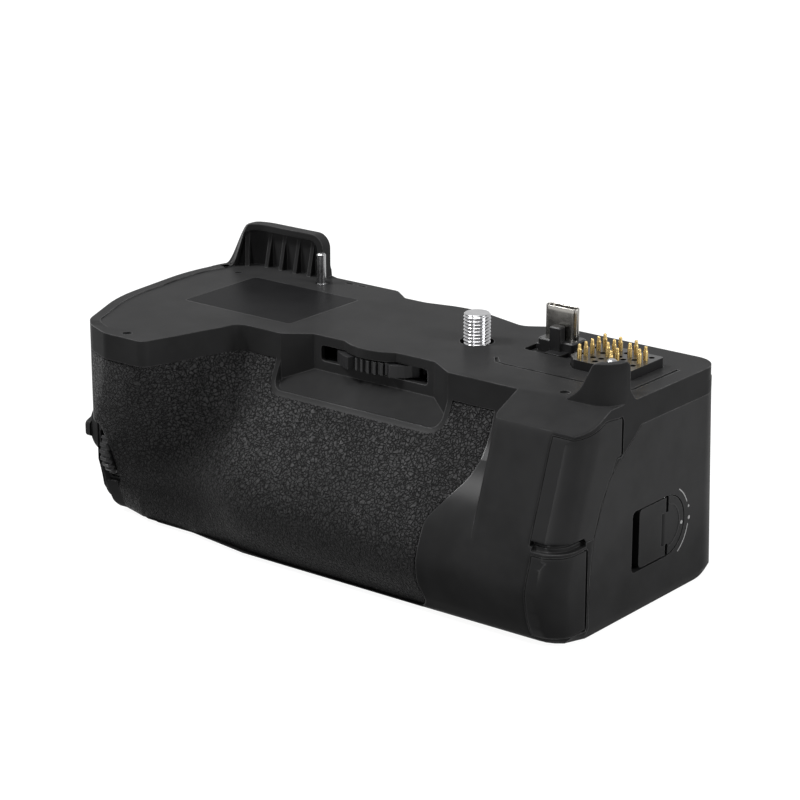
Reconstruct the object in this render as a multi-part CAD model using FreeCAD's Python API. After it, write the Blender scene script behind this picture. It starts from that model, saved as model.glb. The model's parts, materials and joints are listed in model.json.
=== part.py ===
"""Vertical battery and network grip for a mirrorless camera, in millimetres.

X runs along the grip and points to the battery-tray end, Y points from the hand side to the back,
Z points up to the camera.  The origin is on the base, on the axis of the camera screw and of the
tripod socket under it.
"""
import FreeCAD, Part
import math
import os

V = FreeCAD.Vector

# Overall body
TOP_Z = 48.0                # seat for the camera
PART_Z = 42.0               # parting line between top case and the body under it
END_X = 50.3                # flat end that carries the tray cap
LEFT_X = -88.1
BACK_Y = 20.9
FRONT_Y = -22.0             # front of the top plate
PLATE_T = 2.2
LEDGE_Z = 45.2              # step behind the waved back edge of the seat
WALL = 1.8
COVER_T = 1.4               # rubber skin and outer covers
BASE_EDGE = 2.4
SEAM = 0.16                 # parting gap between neighbouring covers
RUNNING = 0.05              # radial clearance of an axle in its bore
ARC_FROM_R = 2.0            # smaller corners are drawn as short flats

# Hand grip form
GRIP_SWELL = 19.5           # how far the hand swell stands out of the front
GRIP_SWELL_LEFT = 13.6
GRIP_SWELL_X = (-54.0, -36.0)
LOBE_FRONT_Y = -46.0        # finger grip at the left, at the parting line
LOBE_TAPER = 10.0
LOBE_FOOT_X = -49.7         # where the inner side of the finger grip meets the front
LOBE_RAMP = 7.3
LOBE_CREST_R = 2.6
SKIN_LEFT_X = -79.3
SKIRT_X = 14.5
WEDGE_X = 27.0              # left side of the port housing
END_EDGE_R = 6.0

# Top plate furniture
RIM_W = 2.4
RIM_H = 1.5
TAB_TOP_Z = 58.3
TAB_RIGHT_X = -58.9
TAB_WALL = 2.8
TAB_SKIN = 1.3
TAB_RIB_T = 1.0
TAB_RIB_X = (-80.6, -76.2, -71.8, -67.4, -63.0)
HORN_TOP_Z = 57.0
HORN_T = 1.7
LABEL_BOX = (-72.5, -40.9, -15.3, 9.4)
LABEL_T = 0.4
BAY_X = (-37.8, 8.7)
BAY_BACK_X = (-31.6, 1.8)
BAY_BACK_Y = -17.7
BAY_LIP_Z = 36.0
BAY_FLOOR_Z = 39.9
BAY_FRAME = 1.3
BAY_WINDOW = (-29.7, 0.0, 42.2, 45.8)

# Tightening wheel and camera screw
SCREW_R = 3.175
SCREW_TOP_Z = 54.3
SCREW_HOLE_R = 3.8
SCREW_NECK_R = 2.4
SCREW_PIVOT_R = 2.0
WHEEL_AT = (-15.7, -6.9)
WHEEL_R = 13.1
WHEEL_LUG_R = 14.2
WHEEL_LUGS = 5
WHEEL_LUG_ANGLE = 27.0
WHEEL_Z = (42.6, 45.4)
WHEEL_AXLE_R = 2.0
VISOR_R = 13.0
GEAR_MODULE = 0.7
WHEEL_GEAR_TEETH = 24
SCREW_GEAR_TEETH = 25
GEAR_Z = (38.9, 41.5)

# Locating pins
PIN_R = 1.1
PIN_TOP_Z = 55.3
PIN_FOOT_R = 1.4
PIN_LEFT = (-56.9, 15.1)
PIN_RIGHT = (43.9, -12.6)

# Connectors on the top plate
USB_AT = (17.2, 7.9)
USB_SHELL = (8.25, 2.4)
USB_TOP_Z = 57.3
USB_SHELL_T = 0.3
USB_WELL = (11.2, 23.4, 1.6, 11.4)
CONTACT_BOX = (25.4, 42.4, -3.6, 10.0)
CONTACT_TOP_Z = 50.0
CONTACT_CHAMFER = 2.6
CONTACT_PIN_R = 0.45
CONTACT_PIN_TOP_Z = 53.2
CONTACT_PITCH = (4.0, 2.4)
CONTACT_FIRST = (28.4, -1.8)
CONTACT_LAYOUT = ("11111", "00111", "11011", "00110")

# Battery tray and batteries
BATTERY = (52.0, 38.0, 21.0)
BATTERY_GAP = 0.4
TRAY_WALL = 1.2
TRAY_FLOOR = 1.2
TRAY_END = 1.4
TRAY_Y0 = -23.0
TRAY_Z0 = 6.0
TRAY_R = 3.0
TRAY_RUN = 0.35             # gap between tray and chamber
CONTACT_ROOM = 1.4
BOLT_ROOM = 2.4
CHAMBER_WALL = 1.25
CAP_T = 5.0
CAP_BACK_R = 8.0

# Tray latch
LATCH_AT = (0.3, 16.4)
LATCH_R = 6.6
LATCH_POCKET = 2.8
LATCH_SHAFT_R = 2.5
LATCH_RUN = 0.2
FLAP_FRONT_Y = -10.2
FLAP_AXIS_Y = -0.3
FLAP_T = 1.9
FLAP_PIN_R = 0.6
FLAP_Z = (9.9, 22.9)
FLAP_EARS_Z = (12.2, 19.6)
FINGER_GAP = 2.8

# Port doors
DOOR_T = 1.6
LAN_LEFT_X = 42.5
MOBILE_LEFT_X = 43.4
DOOR_PIN_R = 0.45
DOOR_KNUCKLE_R = 0.9
DOOR_RUN = 0.15
LAN_HINGE_Y = -17.4
LAN_Z = (21.9, 45.2)
LAN_HINGE_Z = 37.4          # lower end of the network door's hinge edge
LAN_KNUCKLE_Z = (37.7, 44.3)
LAN_SCOOP = (-30.0, 22.9)
LAN_JACK = (29.3, 42.3, -29.0, 32.6)
LAN_JACK_SIZE = (9.4, 15.6)
LAN_JACK_MOUTH = (7.2, 11.7)
LAN_JACK_TILT = -19.2
MOBILE_HINGE_Y = -29.4
MOBILE_Z = (2.6, 20.0)
MOBILE_KNUCKLE_Z = (4.2, 18.4)
USB_SOCKET_AT = (-34.2, 11.0)
USB_SOCKET_SIZE = (8.9, 3.2)

# Board over the battery chamber, and the tripod bush
BOARD_POSTS = ((-51.0, -11.0), (-51.0, 10.0), (14.0, -11.0), (14.0, 10.0))
BOARD_Z = (33.2, 34.6)
BUSH_R = 5.5
BUSH_H = 4.9

# Controls on the left end and on the back
SHUTTER_AT = (-26.0, 18.6)
SHUTTER_BOSS_R = 7.4
SHUTTER_BOSS_X = -86.4
SHUTTER_RING_R = 6.4
SHUTTER_RING_X = (-89.2, -86.5)
SHUTTER_R = 4.3
FRONT_DIAL_X = (-78.8, -75.4)
FRONT_DIAL_AT = (-32.0, 16.4)
FRONT_DIAL_R = 8.0
REAR_DIAL_X = (-77.4, -73.4)
REAR_DIAL_AT = (14.2, 33.2)
REAR_DIAL_R = 8.0
DIAL_TEETH = 24
DIAL_AXLE_R = 1.0
STICK_AT = (-62.0, 35.2)
STICK_PIVOT_Y = 14.6
STICK_CAP_R = 3.2
BUTTONS_AT = ((-52.0, 35.2), (-44.0, 35.2))
BUTTON_R = 2.6
BUTTON_TRAVEL = 0.6
THUMB_PAD = (-71.0, -38.0, 6.0, 27.0)

PLANES = {
    "XY": (lambda a, b, c: V(a, b, c), V(0, 0, 1)),
    "XZ": (lambda a, b, c: V(a, c, b), V(0, 1, 0)),
    "YZ": (lambda a, b, c: V(c, a, b), V(1, 0, 0)),
}


def rounded(corners):
    """Points of an outline whose corners (a, b, radius) become tangent arcs (start, mid, end) or, when
    small, a few short flats."""
    result = []
    count = len(corners)
    for i, corner in enumerate(corners):
        a, b = corner[0], corner[1]
        radius = corner[2] if len(corner) > 2 else 0.0
        if radius <= 0.0:
            result.append(((a, b),))
            continue
        pa, pb = corners[i - 1][0] - a, corners[i - 1][1] - b
        na, nb = corners[(i + 1) % count][0] - a, corners[(i + 1) % count][1] - b
        lp, ln = math.hypot(pa, pb), math.hypot(na, nb)
        pa, pb, na, nb = pa / lp, pb / lp, na / ln, nb / ln
        half = 0.5 * math.acos(max(-1.0, min(1.0, pa * na + pb * nb)))
        reach = radius / math.tan(half)
        ma, mb = pa + na, pb + nb
        lm = math.hypot(ma, mb)
        away = radius / math.sin(half)
        start, end = (a + pa * reach, b + pb * reach), (a + na * reach, b + nb * reach)
        if radius >= ARC_FROM_R:
            mid = (a + ma / lm * (away - radius), b + mb / lm * (away - radius))
            result.append((start, mid, end))
            continue
        steps = 2 if radius < 1.0 else 3
        centre = (a + ma / lm * away, b + mb / lm * away)
        first = math.atan2(start[1] - centre[1], start[0] - centre[0])
        turn = math.remainder(math.atan2(end[1] - centre[1], end[0] - centre[0]) - first, 2.0 * math.pi)
        result += [(polar(centre, radius, math.degrees(first + turn * i / steps)),) for i in range(steps + 1)]
    return result


def wire(corners, plane="XY", at=0.0):
    """Closed wire of an outline given by its corners (a, b) or (a, b, radius)."""
    place = PLANES[plane][0]
    points = rounded(corners)
    edges = []
    last = points[-1][-1]
    for item in points:
        if math.dist(last, item[0]) > 1e-6:
            edges.append(Part.LineSegment(place(*last, at), place(*item[0], at)).toShape())
        if len(item) == 3:
            edges.append(Part.Arc(*[place(*p, at) for p in item]).toShape())
        last = item[-1]
    return Part.Wire(edges)


def prism(corners, plane, low, high):
    """Solid of an outline, from low to high along the axis square to its plane."""
    return Part.Face(wire(corners, plane, low)).extrude(PLANES[plane][1] * (high - low))


def inset(corners, depth):
    """The same outline moved inwards by depth; its corners run counter-clockwise."""
    lines = []
    for i, corner in enumerate(corners):
        a0, b0 = corner[0], corner[1]
        a1, b1 = corners[(i + 1) % len(corners)][:2]
        length = math.hypot(a1 - a0, b1 - b0)
        ua, ub = (a1 - a0) / length, (b1 - b0) / length
        lines.append((a0 - ub * depth, b0 + ua * depth, ua, ub))
    result = []
    for i, corner in enumerate(corners):
        a0, b0, ua, ub = lines[i - 1]
        a1, b1, va, vb = lines[i]
        turn = ua * vb - ub * va
        s = ((a1 - a0) * vb - (b1 - b0) * va) / turn
        radius = corner[2] if len(corner) > 2 else 0.0
        if radius:
            radius = max(0.1, radius - depth if turn > 0 else radius + depth)
        result.append((a0 + ua * s, b0 + ub * s, radius))
    return result


def grow(corners, depth):
    """The same outline moved outwards."""
    return inset(corners, -depth)


def box(x0, x1, y0, y1, z0, z1):
    return Part.makeBox(x1 - x0, y1 - y0, z1 - z0, V(x0, y0, z0))


def rod(radius, base, axis, length):
    return Part.makeCylinder(radius, length, V(*base), V(*axis))


def lies(edge, **limits):
    """Whether an edge's box stays inside the limits, such as zmax=0.01."""
    b = edge.BoundBox
    have = {"xmin": b.XMin, "xmax": b.XMax, "ymin": b.YMin, "ymax": b.YMax, "zmin": b.ZMin, "zmax": b.ZMax}
    return all(have[k] >= v if k.endswith("min") else have[k] <= v for k, v in limits.items())


def fillet(shape, radius, wanted):
    """Round the edges that the test picks."""
    return shape.makeFillet(radius, [e for e in shape.Edges if wanted(e)])


def chamfer(shape, size, wanted):
    """Bevel the edges that the test picks."""
    return shape.makeChamfer(size, [e for e in shape.Edges if wanted(e)])


def fuse(*shapes):
    solid = shapes[0]
    for other in shapes[1:]:
        solid = solid.fuse(other)
    return solid.removeSplitter()


def cut(shape, *tools):
    for tool in tools:
        shape = shape.cut(tool)
    return shape


def both(shape, *others):
    for other in others:
        shape = shape.common(other)
    return shape


def loft(wires, ruled=False):
    return Part.makeLoft(wires, True, ruled)


def largest(shape):
    """The biggest solid, without slivers that a cut left over."""
    return max(shape.Solids, key=lambda solid: solid.Volume)


def polar(centre, radius, angle):
    a = math.radians(angle)
    return (centre[0] + radius * math.cos(a), centre[1] + radius * math.sin(a))


def toothed(centre, root, tip, teeth, low, high, phase=0.0, share=0.58, top_share=0.24):
    """Wheel about Z with straight-sided teeth; share and top_share are tooth widths in pitches."""
    pitch = 360.0 / teeth
    points = []
    for i in range(teeth):
        middle = phase + i * pitch
        for radius, side in ((root, -share), (tip, -top_share), (tip, top_share), (root, share)):
            points.append(polar(centre, radius, middle + 0.5 * side * pitch))
    return prism(points, "XY", low, high)


# Outlines seen from above, counter-clockwise
BODY_PLAN = [
    (END_X, -56.0), (END_X, BACK_Y, 6.5), (-84.9, BACK_Y, 11.0), (LEFT_X, 1.5, 45.0), (-85.9, -23.5, 40.0),
    (-77.6, -42.2, 9.0), (-66.2, -47.0, 6.0), (-62.0, -56.0),
]
PLATE_PLAN = [
    (END_X, FRONT_Y), (END_X, 20.2, 6.0), (8.0, 20.2, 10.0), (1.0, 15.6, 4.0), (-16.0, 20.0, 24.0),
    (-27.5, 17.2, 9.0), (-33.5, 17.2, 1.5), (-38.5, BACK_Y, 2.5), (-84.9, BACK_Y, 11.0), (LEFT_X, 1.5, 45.0),
    (-85.9, -23.5, 40.0), (-77.6, -42.2, 9.0), (-68.6, LOBE_FRONT_Y, 4.0),
    (LOBE_FOOT_X - LOBE_RAMP, LOBE_FRONT_Y, LOBE_CREST_R), (LOBE_FOOT_X, FRONT_Y, 3.0),
]
HORN_PLAN = [(END_X, FRONT_Y, 5.5), (END_X, 10.0), (30.0, 10.0), (30.0, FRONT_Y)]

# Outline of the rubber skin seen from the front, between the base lip and the parting line
SKIN_PLAN = [
    (SKIN_LEFT_X, COVER_T), (17.6, COVER_T, 3.0), (15.2, 8.0, 6.0), (15.4, 21.2, 5.0), (22.4, 30.5, 6.0),
    (21.0, PART_Z), (SKIN_LEFT_X, PART_Z),
]

# Parting line of the tray cap, seen from the end
CAP_PLAN = [
    (-28.3, 0.0), (BACK_Y, 0.0, CAP_BACK_R), (BACK_Y, PART_Z), (-10.3, PART_Z), (-22.0, 33.0, 8.0),
    (-27.2, 22.0, 20.0), (-28.3, 12.0, 20.0),
]
CAP_BACK_X = END_X - CAP_T

# Battery tray and its chamber, from the battery
BATTERY_X1 = CAP_BACK_X - TRAY_END - BOLT_ROOM
BATTERY_X0 = BATTERY_X1 - 2 * BATTERY[0] - TRAY_WALL - 2 * BATTERY_GAP
TRAY_X0 = BATTERY_X0 - BATTERY_GAP - TRAY_WALL
TRAY_Y1 = TRAY_Y0 + BATTERY[1] + 2 * TRAY_WALL + BATTERY_GAP
TRAY_Z1 = TRAY_Z0 + TRAY_FLOOR + BATTERY[2] + BATTERY_GAP
CHAMBER_X0 = TRAY_X0 - CONTACT_ROOM
CHAMBER_TOP_Z = TRAY_Z1 + TRAY_RUN
TUB_FLOOR_Z = CHAMBER_TOP_Z + WALL
SKIRT_BACK_Y = TRAY_Y0 - TRAY_RUN - CHAMBER_WALL
SHELF_Y = -20.6             # front of the main case above the chamber, beside the ports
SCREW_GEAR_R = 0.5 * GEAR_MODULE * SCREW_GEAR_TEETH
WHEEL_GEAR_R = 0.5 * GEAR_MODULE * WHEEL_GEAR_TEETH
BAY_LOW_Z = BAY_LIP_Z - BAY_FRAME
MESH_ANGLE = math.degrees(math.atan2(-WHEEL_AT[1], -WHEEL_AT[0]))
FLAP_AXIS_X = END_X - 0.1 - FLAP_T / 2


# Height and how far the front stands out there, at full reach
SWELL = ((42.0, 0.0), (37.9, 2.0), (33.0, 6.1), (27.2, 11.9), (22.2, 16.0), (13.0, 19.5), (8.0, 18.9), (4.2, 17.6),
         (1.2, 15.9), (0.0, 12.8))


def front_at(z, reach):
    """Front of the hand swell at a height, between the points of its profile."""
    for (z0, out0), (z1, out1) in zip(SWELL, SWELL[1:]):
        if z >= z1:
            return FRONT_Y - reach / GRIP_SWELL * (out0 + (out1 - out0) * (z - z0) / (z1 - z0))
    return FRONT_Y


def palm_wire(x, reach):
    """Section of the body across X: straight under the plate, swelling to the crest, rounded to the base."""
    points = [V(x, front_at(z, reach), z) for z, _ in SWELL]
    back = BACK_Y + 10.0
    edges = [Part.Arc(*points[0:3]).toShape(), Part.Arc(points[2], points[4], points[5]).toShape(),
             Part.Arc(*points[5:8]).toShape()]
    lines = points[7:] + [V(x, back, 0.0), V(x, back, PART_Z), points[0]]
    edges += [Part.LineSegment(a, b).toShape() for a, b in zip(lines, lines[1:])]
    return Part.Wire(edges)


def inner_palm_wire(x, reach, depth):
    """Faceted section that stays at least depth under the outer one."""
    points = [(front_at(z, reach) + depth, z) for z, _ in SWELL[:8]]
    points.append((front_at(1.2, reach) + depth + 0.6, depth))
    return wire(points + [(BACK_Y + 10.0, depth), (BACK_Y + 10.0, PART_Z)], "YZ", x)


def palm(section):
    """The long hand swell: lower at the left end, with a ramp up to its full reach."""
    stations = [(LEFT_X - 6.0, GRIP_SWELL_LEFT), (GRIP_SWELL_X[0], GRIP_SWELL_LEFT), (GRIP_SWELL_X[1], GRIP_SWELL),
                (END_X + 2.0, GRIP_SWELL)]
    wires = [section(*s) for s in stations]
    return fuse(*[loft([a, b], True) for a, b in zip(wires, wires[1:])])


def lobe_section(z, depth=0.0):
    """Plan of the finger grip at a height; its inner side slides down to the left."""
    drop = PART_Z - z
    slide = 1.15 * (0.5 * (30.5 - z + math.hypot(30.5 - z, 5.0)) - 0.5)
    foot = LOBE_FOOT_X - max(0.0, slide) - depth
    crest = foot - LOBE_RAMP - 0.35 * drop
    front = LOBE_FRONT_Y + LOBE_TAPER * (drop / PART_Z) ** 1.3 + depth
    palm_y = front_at(z, GRIP_SWELL_LEFT) + depth
    inside = 3.0 / (foot - crest)
    end = (foot + (foot - crest) * inside, palm_y + (palm_y - front) * inside)
    radius = 0.0 if depth else LOBE_CREST_R + 0.12 * drop
    return [(crest, front, radius), end, (end[0], -4.0), (LEFT_X - 30.0, -4.0), (LEFT_X - 30.0, front)]


def back_space(depth):
    """Space inside the rounded edge between the back and the base."""
    outline = [(-60.0, depth), (BACK_Y - depth, depth, CAP_BACK_R - depth), (BACK_Y - depth, PART_Z), (-60.0, PART_Z)]
    return prism(outline, "YZ", LEFT_X - 1.0, END_X)


def body_form():
    """Everything under the parting line, as one solid with the outer surface of all its covers."""
    plan = prism(BODY_PLAN, "XY", 0.0, PART_Z)
    plan = chamfer(plan, BASE_EDGE, lambda e: lies(e, zmax=0.01, ymin=-54.0) or lies(e, zmax=0.01, xmin=END_X - 0.1))
    lobe = loft([wire(lobe_section(z), "XY", z) for z in (42.0, 35.0, 28.0, 21.0, 14.0, 7.0, 0.0)], True)
    return both(plan, fuse(palm(palm_wire), lobe), back_space(0.0))


def inner_form(depth):
    """The body under its covers: faceted and at least depth inside the outer surface."""
    plan = prism(inset(BODY_PLAN, depth), "XY", depth, PART_Z)
    plan = chamfer(plan, 1.4, lambda e: lies(e, zmax=depth + 0.01, ymin=-50.0))
    lobe = loft([wire(lobe_section(z, depth), "XY", z) for z in (42.0, 30.0, 0.0)], True)
    return both(plan, fuse(palm(lambda x, reach: inner_palm_wire(x, reach, depth)), lobe), back_space(depth))


def chamber_outline(gap):
    """Section of the battery tray's outside, across X; gap widens it to the chamber."""
    return [(TRAY_Y0 - gap, TRAY_Z0 - gap, 0.8), (TRAY_Y1 + gap, TRAY_Z0 - gap, TRAY_R + gap),
            (TRAY_Y1 + gap, TRAY_Z1 + gap, 0.8), (TRAY_Y0 - gap, TRAY_Z1 + gap, 0.8)]


def end_space(depth=0.0):
    """Space inside the rounded edge between the front and the tray end, moved in by depth."""
    levels = [(TOP_Z + 1.0, -31.9), (42.2, -31.9), (19.5, -39.8), (13.0, -41.7), (7.0, -41.1), (3.0, -39.4),
              (-0.2, -36.4)]
    blocks = []
    radius = END_EDGE_R - depth
    for (z0, y0), (z1, y1) in zip(levels, levels[1:]):
        middle = (END_X - END_EDGE_R, y1 + END_EDGE_R)
        arc = [polar(middle, radius, -90.0 + 15.0 * i) for i in range(7)]
        section = wire([(-120.0, y1 + depth), *arc, (END_X - depth, 60.0), (-120.0, 60.0)], "XY", z1)
        blocks.append(Part.Face(section).extrude(V(0.0, y0 - y1, z0 - z1)))
    return fuse(*blocks)


def port_wedge():
    """Housing over the ports: a sloped top and a flat front that runs down into the hand swell."""
    profile = [(-22.0, 42.0), (FRONT_Y, TOP_Z), (-30.8, 44.1), (-31.7, 42.2), (-39.6, 19.5), (-39.6, 12.0),
               (-26.0, 12.0), (-26.0, 40.0)]
    body = prism(profile, "YZ", WEDGE_X, END_X)
    return fillet(body, 2.0, lambda e: lies(e, xmax=WEDGE_X + 0.01, ymax=-31.0, zmin=15.0))


def port_corner(form):
    """Front right corner, all in one with the top case, before its doors are cut out."""
    below = both(form, box(SKIRT_X, END_X, -60.0, SKIRT_BACK_Y, 0.0, PART_Z))
    shelf = both(form, box(SKIRT_X, END_X, -60.0, SHELF_Y - 0.1, TUB_FLOOR_Z, PART_Z))
    end = both(form, box(CAP_BACK_X, END_X, -60.0, -10.3, 0.0, PART_Z))
    solid = both(fuse(below, shelf, end, port_wedge()), end_space())
    return solid.cut(prism(grow(CAP_PLAN, 0.15), "YZ", CAP_BACK_X, END_X + 1.0))


def corner_hollows():
    """Rooms moulded into the back of the front right corner."""
    low = box(SKIRT_X + 2.0, 41.0, -36.4, -20.0, 4.6, 20.0)
    high = prism([(-24.0, 22.4), (-24.0, 31.0), (-19.0, 31.0), (-19.0, 42.0), (-20.3, 42.0), (-22.0, 38.5),
                  (-26.2, 33.0), (-30.8, 27.5), (-35.3, 22.4)], "YZ", SKIRT_X + 2.0, 27.6)
    return [low, high]


def thumb_tab():
    """Thumb rest at the back left: a curved wall with a rim round a ribbed hollow."""
    low = TOP_Z - 1.0
    side = [(-92.0, low), (TAB_RIGHT_X + 4.0, low), (TAB_RIGHT_X + 2.0, TOP_Z), (TAB_RIGHT_X, TOP_Z + 2.0, 2.4),
            (TAB_RIGHT_X, TAB_TOP_Z, 3.4), (-83.2, TAB_TOP_Z, 5.0), (-86.4, TOP_Z + 3.4, 8.0), (-92.0, TOP_Z + 0.6)]
    hollow = [(-86.0, TOP_Z), (TAB_RIGHT_X - 1.6, TOP_Z), (TAB_RIGHT_X - 1.6, TAB_TOP_Z - 1.5, 2.4),
              (-81.8, TAB_TOP_Z - 1.5, 4.0)]
    outer = prism(PLATE_PLAN, "XY", low, TAB_TOP_Z + 1.0)
    wall = outer.cut(prism(inset(PLATE_PLAN, TAB_WALL), "XY", low, TAB_TOP_Z + 1.0))
    wall = both(wall, box(-90.0, TAB_RIGHT_X + 6.0, 9.0, 24.0, low, TAB_TOP_Z), prism(side, "XZ", 0.0, 30.0))
    room = prism(inset(PLATE_PLAN, TAB_SKIN), "XY", TOP_Z, TAB_TOP_Z)
    room = both(room, prism(hollow, "XZ", 11.0, 24.0))
    wall = wall.cut(room)
    foot = BACK_Y - TAB_WALL - 0.6
    face = BACK_Y - TAB_SKIN + 0.2
    for i, x in enumerate(TAB_RIB_X):
        rib = prism([(face, TOP_Z - 0.2), (face, TAB_TOP_Z - 1.2), (foot, TOP_Z - 0.2)], "YZ", x - TAB_RIB_T / 2,
                    x + TAB_RIB_T / 2)
        if i == 0:
            rib.rotate(V(x, foot, 0.0), V(0, 0, 1), 35.0)
            rib.translate(V(0.0, -1.8, 0.0))
        wall = wall.fuse(both(rib, outer))
    return wall


def horn():
    """Corner guard at the front right: a thin wall round the corner with a sloping left edge."""
    low = TOP_Z - 1.5
    wall = prism(HORN_PLAN, "XY", low, HORN_TOP_Z).cut(prism(inset(HORN_PLAN, HORN_T), "XY", low, HORN_TOP_Z))
    front = [(36.0, low), (END_X, low), (END_X, HORN_TOP_Z), (45.6, HORN_TOP_Z, 1.2), (42.4, TOP_Z + 2.6, 8.0),
             (38.9, TOP_Z), (36.0, TOP_Z)]
    end = [(-24.0, low), (-11.0, low), (-11.0, TOP_Z), (-12.9, TOP_Z, 1.5), (-15.0, TOP_Z + 2.4, 2.0),
           (-15.4, HORN_TOP_Z - 0.9, 0.8), (-16.6, HORN_TOP_Z), (-24.0, HORN_TOP_Z)]
    return both(wall, prism(front, "XZ", -24.0, -10.0), prism(end, "YZ", 36.0, END_X))


def rim():
    """Low wall round the left end of the plate."""
    low = TOP_Z - 0.5
    wall = prism(PLATE_PLAN, "XY", low, TOP_Z + RIM_H).cut(prism(inset(PLATE_PLAN, RIM_W), "XY", low, TOP_Z + RIM_H))
    side = [(-42.6, low), (14.0, low), (14.0, TOP_Z + RIM_H), (-39.6, TOP_Z + RIM_H, 1.5), (-42.6, TOP_Z)]
    return both(wall, prism(side, "YZ", -90.0, -70.0))


def bay_outline(gap=0.0):
    return grow([(BAY_X[0] - BAY_FRAME, BAY_LOW_Z, 3.6), (BAY_X[1] + BAY_FRAME, BAY_LOW_Z, 3.6),
                 (BAY_X[1] + BAY_FRAME, TOP_Z), (BAY_X[0] - BAY_FRAME, TOP_Z)], gap)


def bay_recess():
    """Room in front of the wheel: slanted cheeks, an upright back and a sloping floor."""
    high = TOP_Z + 1.0
    side = [(-30.0, BAY_LIP_Z), (-24.4, BAY_LIP_Z), (BAY_BACK_Y, BAY_FLOOR_Z), (BAY_BACK_Y, high), (-30.0, high)]
    x0, x1 = BAY_X
    b0, b1 = BAY_BACK_X
    plan = [(x0, -30.0), (x1, -30.0), (x1, FRONT_Y), (b1, BAY_BACK_Y), (b0, BAY_BACK_Y), (x0, FRONT_Y)]
    front = [(x0, BAY_LIP_Z, 2.4), (x1, BAY_LIP_Z, 2.4), (x1, high), (x0, high)]
    return both(prism(side, "YZ", x0 - 1.0, x1 + 1.0), prism(plan, "XY", BAY_LIP_Z - 1.0, high),
                prism(front, "XZ", -30.0, BAY_BACK_Y))


def wheel_window():
    """Slot in the back of the bay and the round room behind it."""
    x0, x1, z0, z1 = BAY_WINDOW
    slot = prism([(x0, z0, 0.8), (x1, z0, 0.8), (x1, z1, 0.8), (x0, z1, 0.8)], "XZ", BAY_BACK_Y - 4.0, -16.0)
    round_room = rod(WHEEL_LUG_R + 0.6, (*WHEEL_AT, z0), (0, 0, 1), z1 - z0)
    return [slot, both(round_room, box(x0, x1, -30.0, 12.0, z0, z1))]


def plate_marks():
    """Shallow groove, slots and dimples in the seat."""
    path = [(10.0, -7.1), (12.2, -9.9), (14.7, -10.3), (44.2, -10.3), (46.4, -7.6), (46.4, 9.5), (45.6, 9.5),
            (45.6, -7.4), (43.8, -9.5), (14.9, -9.5), (12.8, -9.2), (10.6, -6.8)]
    marks = [prism(path, "XY", TOP_Z - 0.4, TOP_Z + 1.0)]
    for x, y, r in ((-64.4, -43.0, 1.1), (-78.7, 10.3, 0.9), (36.0, -17.9, 1.1)):
        marks.append(facets((x, y), r, 12, TOP_Z - 0.5, TOP_Z + 1.5))
    for x in (-51.5, -47.6):
        marks.append(box(x - 1.1, x + 1.1, 18.5, 19.3, TOP_Z - 0.8, TOP_Z + 1.0))
    x0, x1, y0, y1 = LABEL_BOX
    marks.append(prism([(x0, y0, 0.8), (x1, y0, 0.8), (x1, y1, 0.8), (x0, y1, 0.8)], "XY", TOP_Z - LABEL_T, TOP_Z + 1.0))
    return marks


def top_holes():
    """Through holes of the seat: screw, pins, plug well and contact block."""
    low, high = PART_Z, TOP_Z + 1.0
    holes = [rod(SCREW_HOLE_R, (0, 0, low), (0, 0, 1), high - low)]
    for x, y in (PIN_LEFT, PIN_RIGHT):
        holes.append(rod(PIN_FOOT_R, (x, y, low), (0, 0, 1), high - low))
    x0, x1, y0, y1 = USB_WELL
    holes.append(prism([(x0, y0, 1.0), (x1, y0, 1.0), (x1, y1, 1.0), (x0, y1, 1.0)], "XY", low, high))
    holes.append(prism(contact_outline(0.0), "XY", low, high))
    return holes


def contact_outline(depth):
    x0, x1, y0, y1 = CONTACT_BOX
    c = CONTACT_CHAMFER
    return inset([(x0 + c, y0, 0.5), (x1, y0, 0.8), (x1, y1, 0.8), (x0, y1, 0.8), (x0, y0 + c, 0.5)], depth)


def top_inside():
    """Hollow under the seat, solid round the bay and round the right pin."""
    room = prism(inset(PLATE_PLAN, WALL), "XY", PART_Z - 1.0, TOP_Z - PLATE_T)
    keep = box(BAY_X[0] - 1.7, BAY_X[1] + 1.7, -30.0, BAY_BACK_Y + BAY_FRAME, PART_Z - 2.0, TOP_Z)
    keep = fuse(keep, box(WEDGE_X, END_X, -30.0, SHELF_Y + 1.6, PART_Z - 2.0, TOP_Z),
                box(45.0, END_X, -30.0, LAN_HINGE_Y + 2.0, PART_Z - 2.0, TOP_Z))
    return room.cut(keep)


def door_layer(corner, depth):
    """Outer layer of the corner that a door takes up."""
    head = box(WEDGE_X, END_X, FRONT_Y, -12.0, PART_Z, TOP_Z)
    return corner.fuse(head).cut(end_space(depth))


def lan_outline(gap, scoop=False):
    """Outline of the network port door seen from the end; gap widens it to the hole."""
    low, high = LAN_Z
    y = LAN_HINGE_Y
    foot = [(-60.0, low)]
    if scoop:
        foot = [(-60.0, LAN_SCOOP[1]), (LAN_SCOOP[0] - 0.8, LAN_SCOOP[1], 0.4), (LAN_SCOOP[0], low, 0.4)]
    return grow(foot + [(-27.2, low, 1.2), (-24.8, 28.6, 6.0), (-20.9, 34.2, 3.0), (-19.7, LAN_HINGE_Z - 0.5), (y, LAN_HINGE_Z),
                        (y, high, 0.9),
                        (-23.6, high + 0.6, 1.0), (-25.7, high - 0.3, 1.5), (-30.8, 43.2, 1.0), (-60.0, 43.2)], gap)


def mobile_outline(gap, scoop=False):
    """Outline of the lower port door seen from the end."""
    low, high = MOBILE_Z
    y = MOBILE_HINGE_Y
    return grow([(-60.0, low), (y, low, 0.5), (y, high, 0.5), (-60.0, high)], gap)


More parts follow.
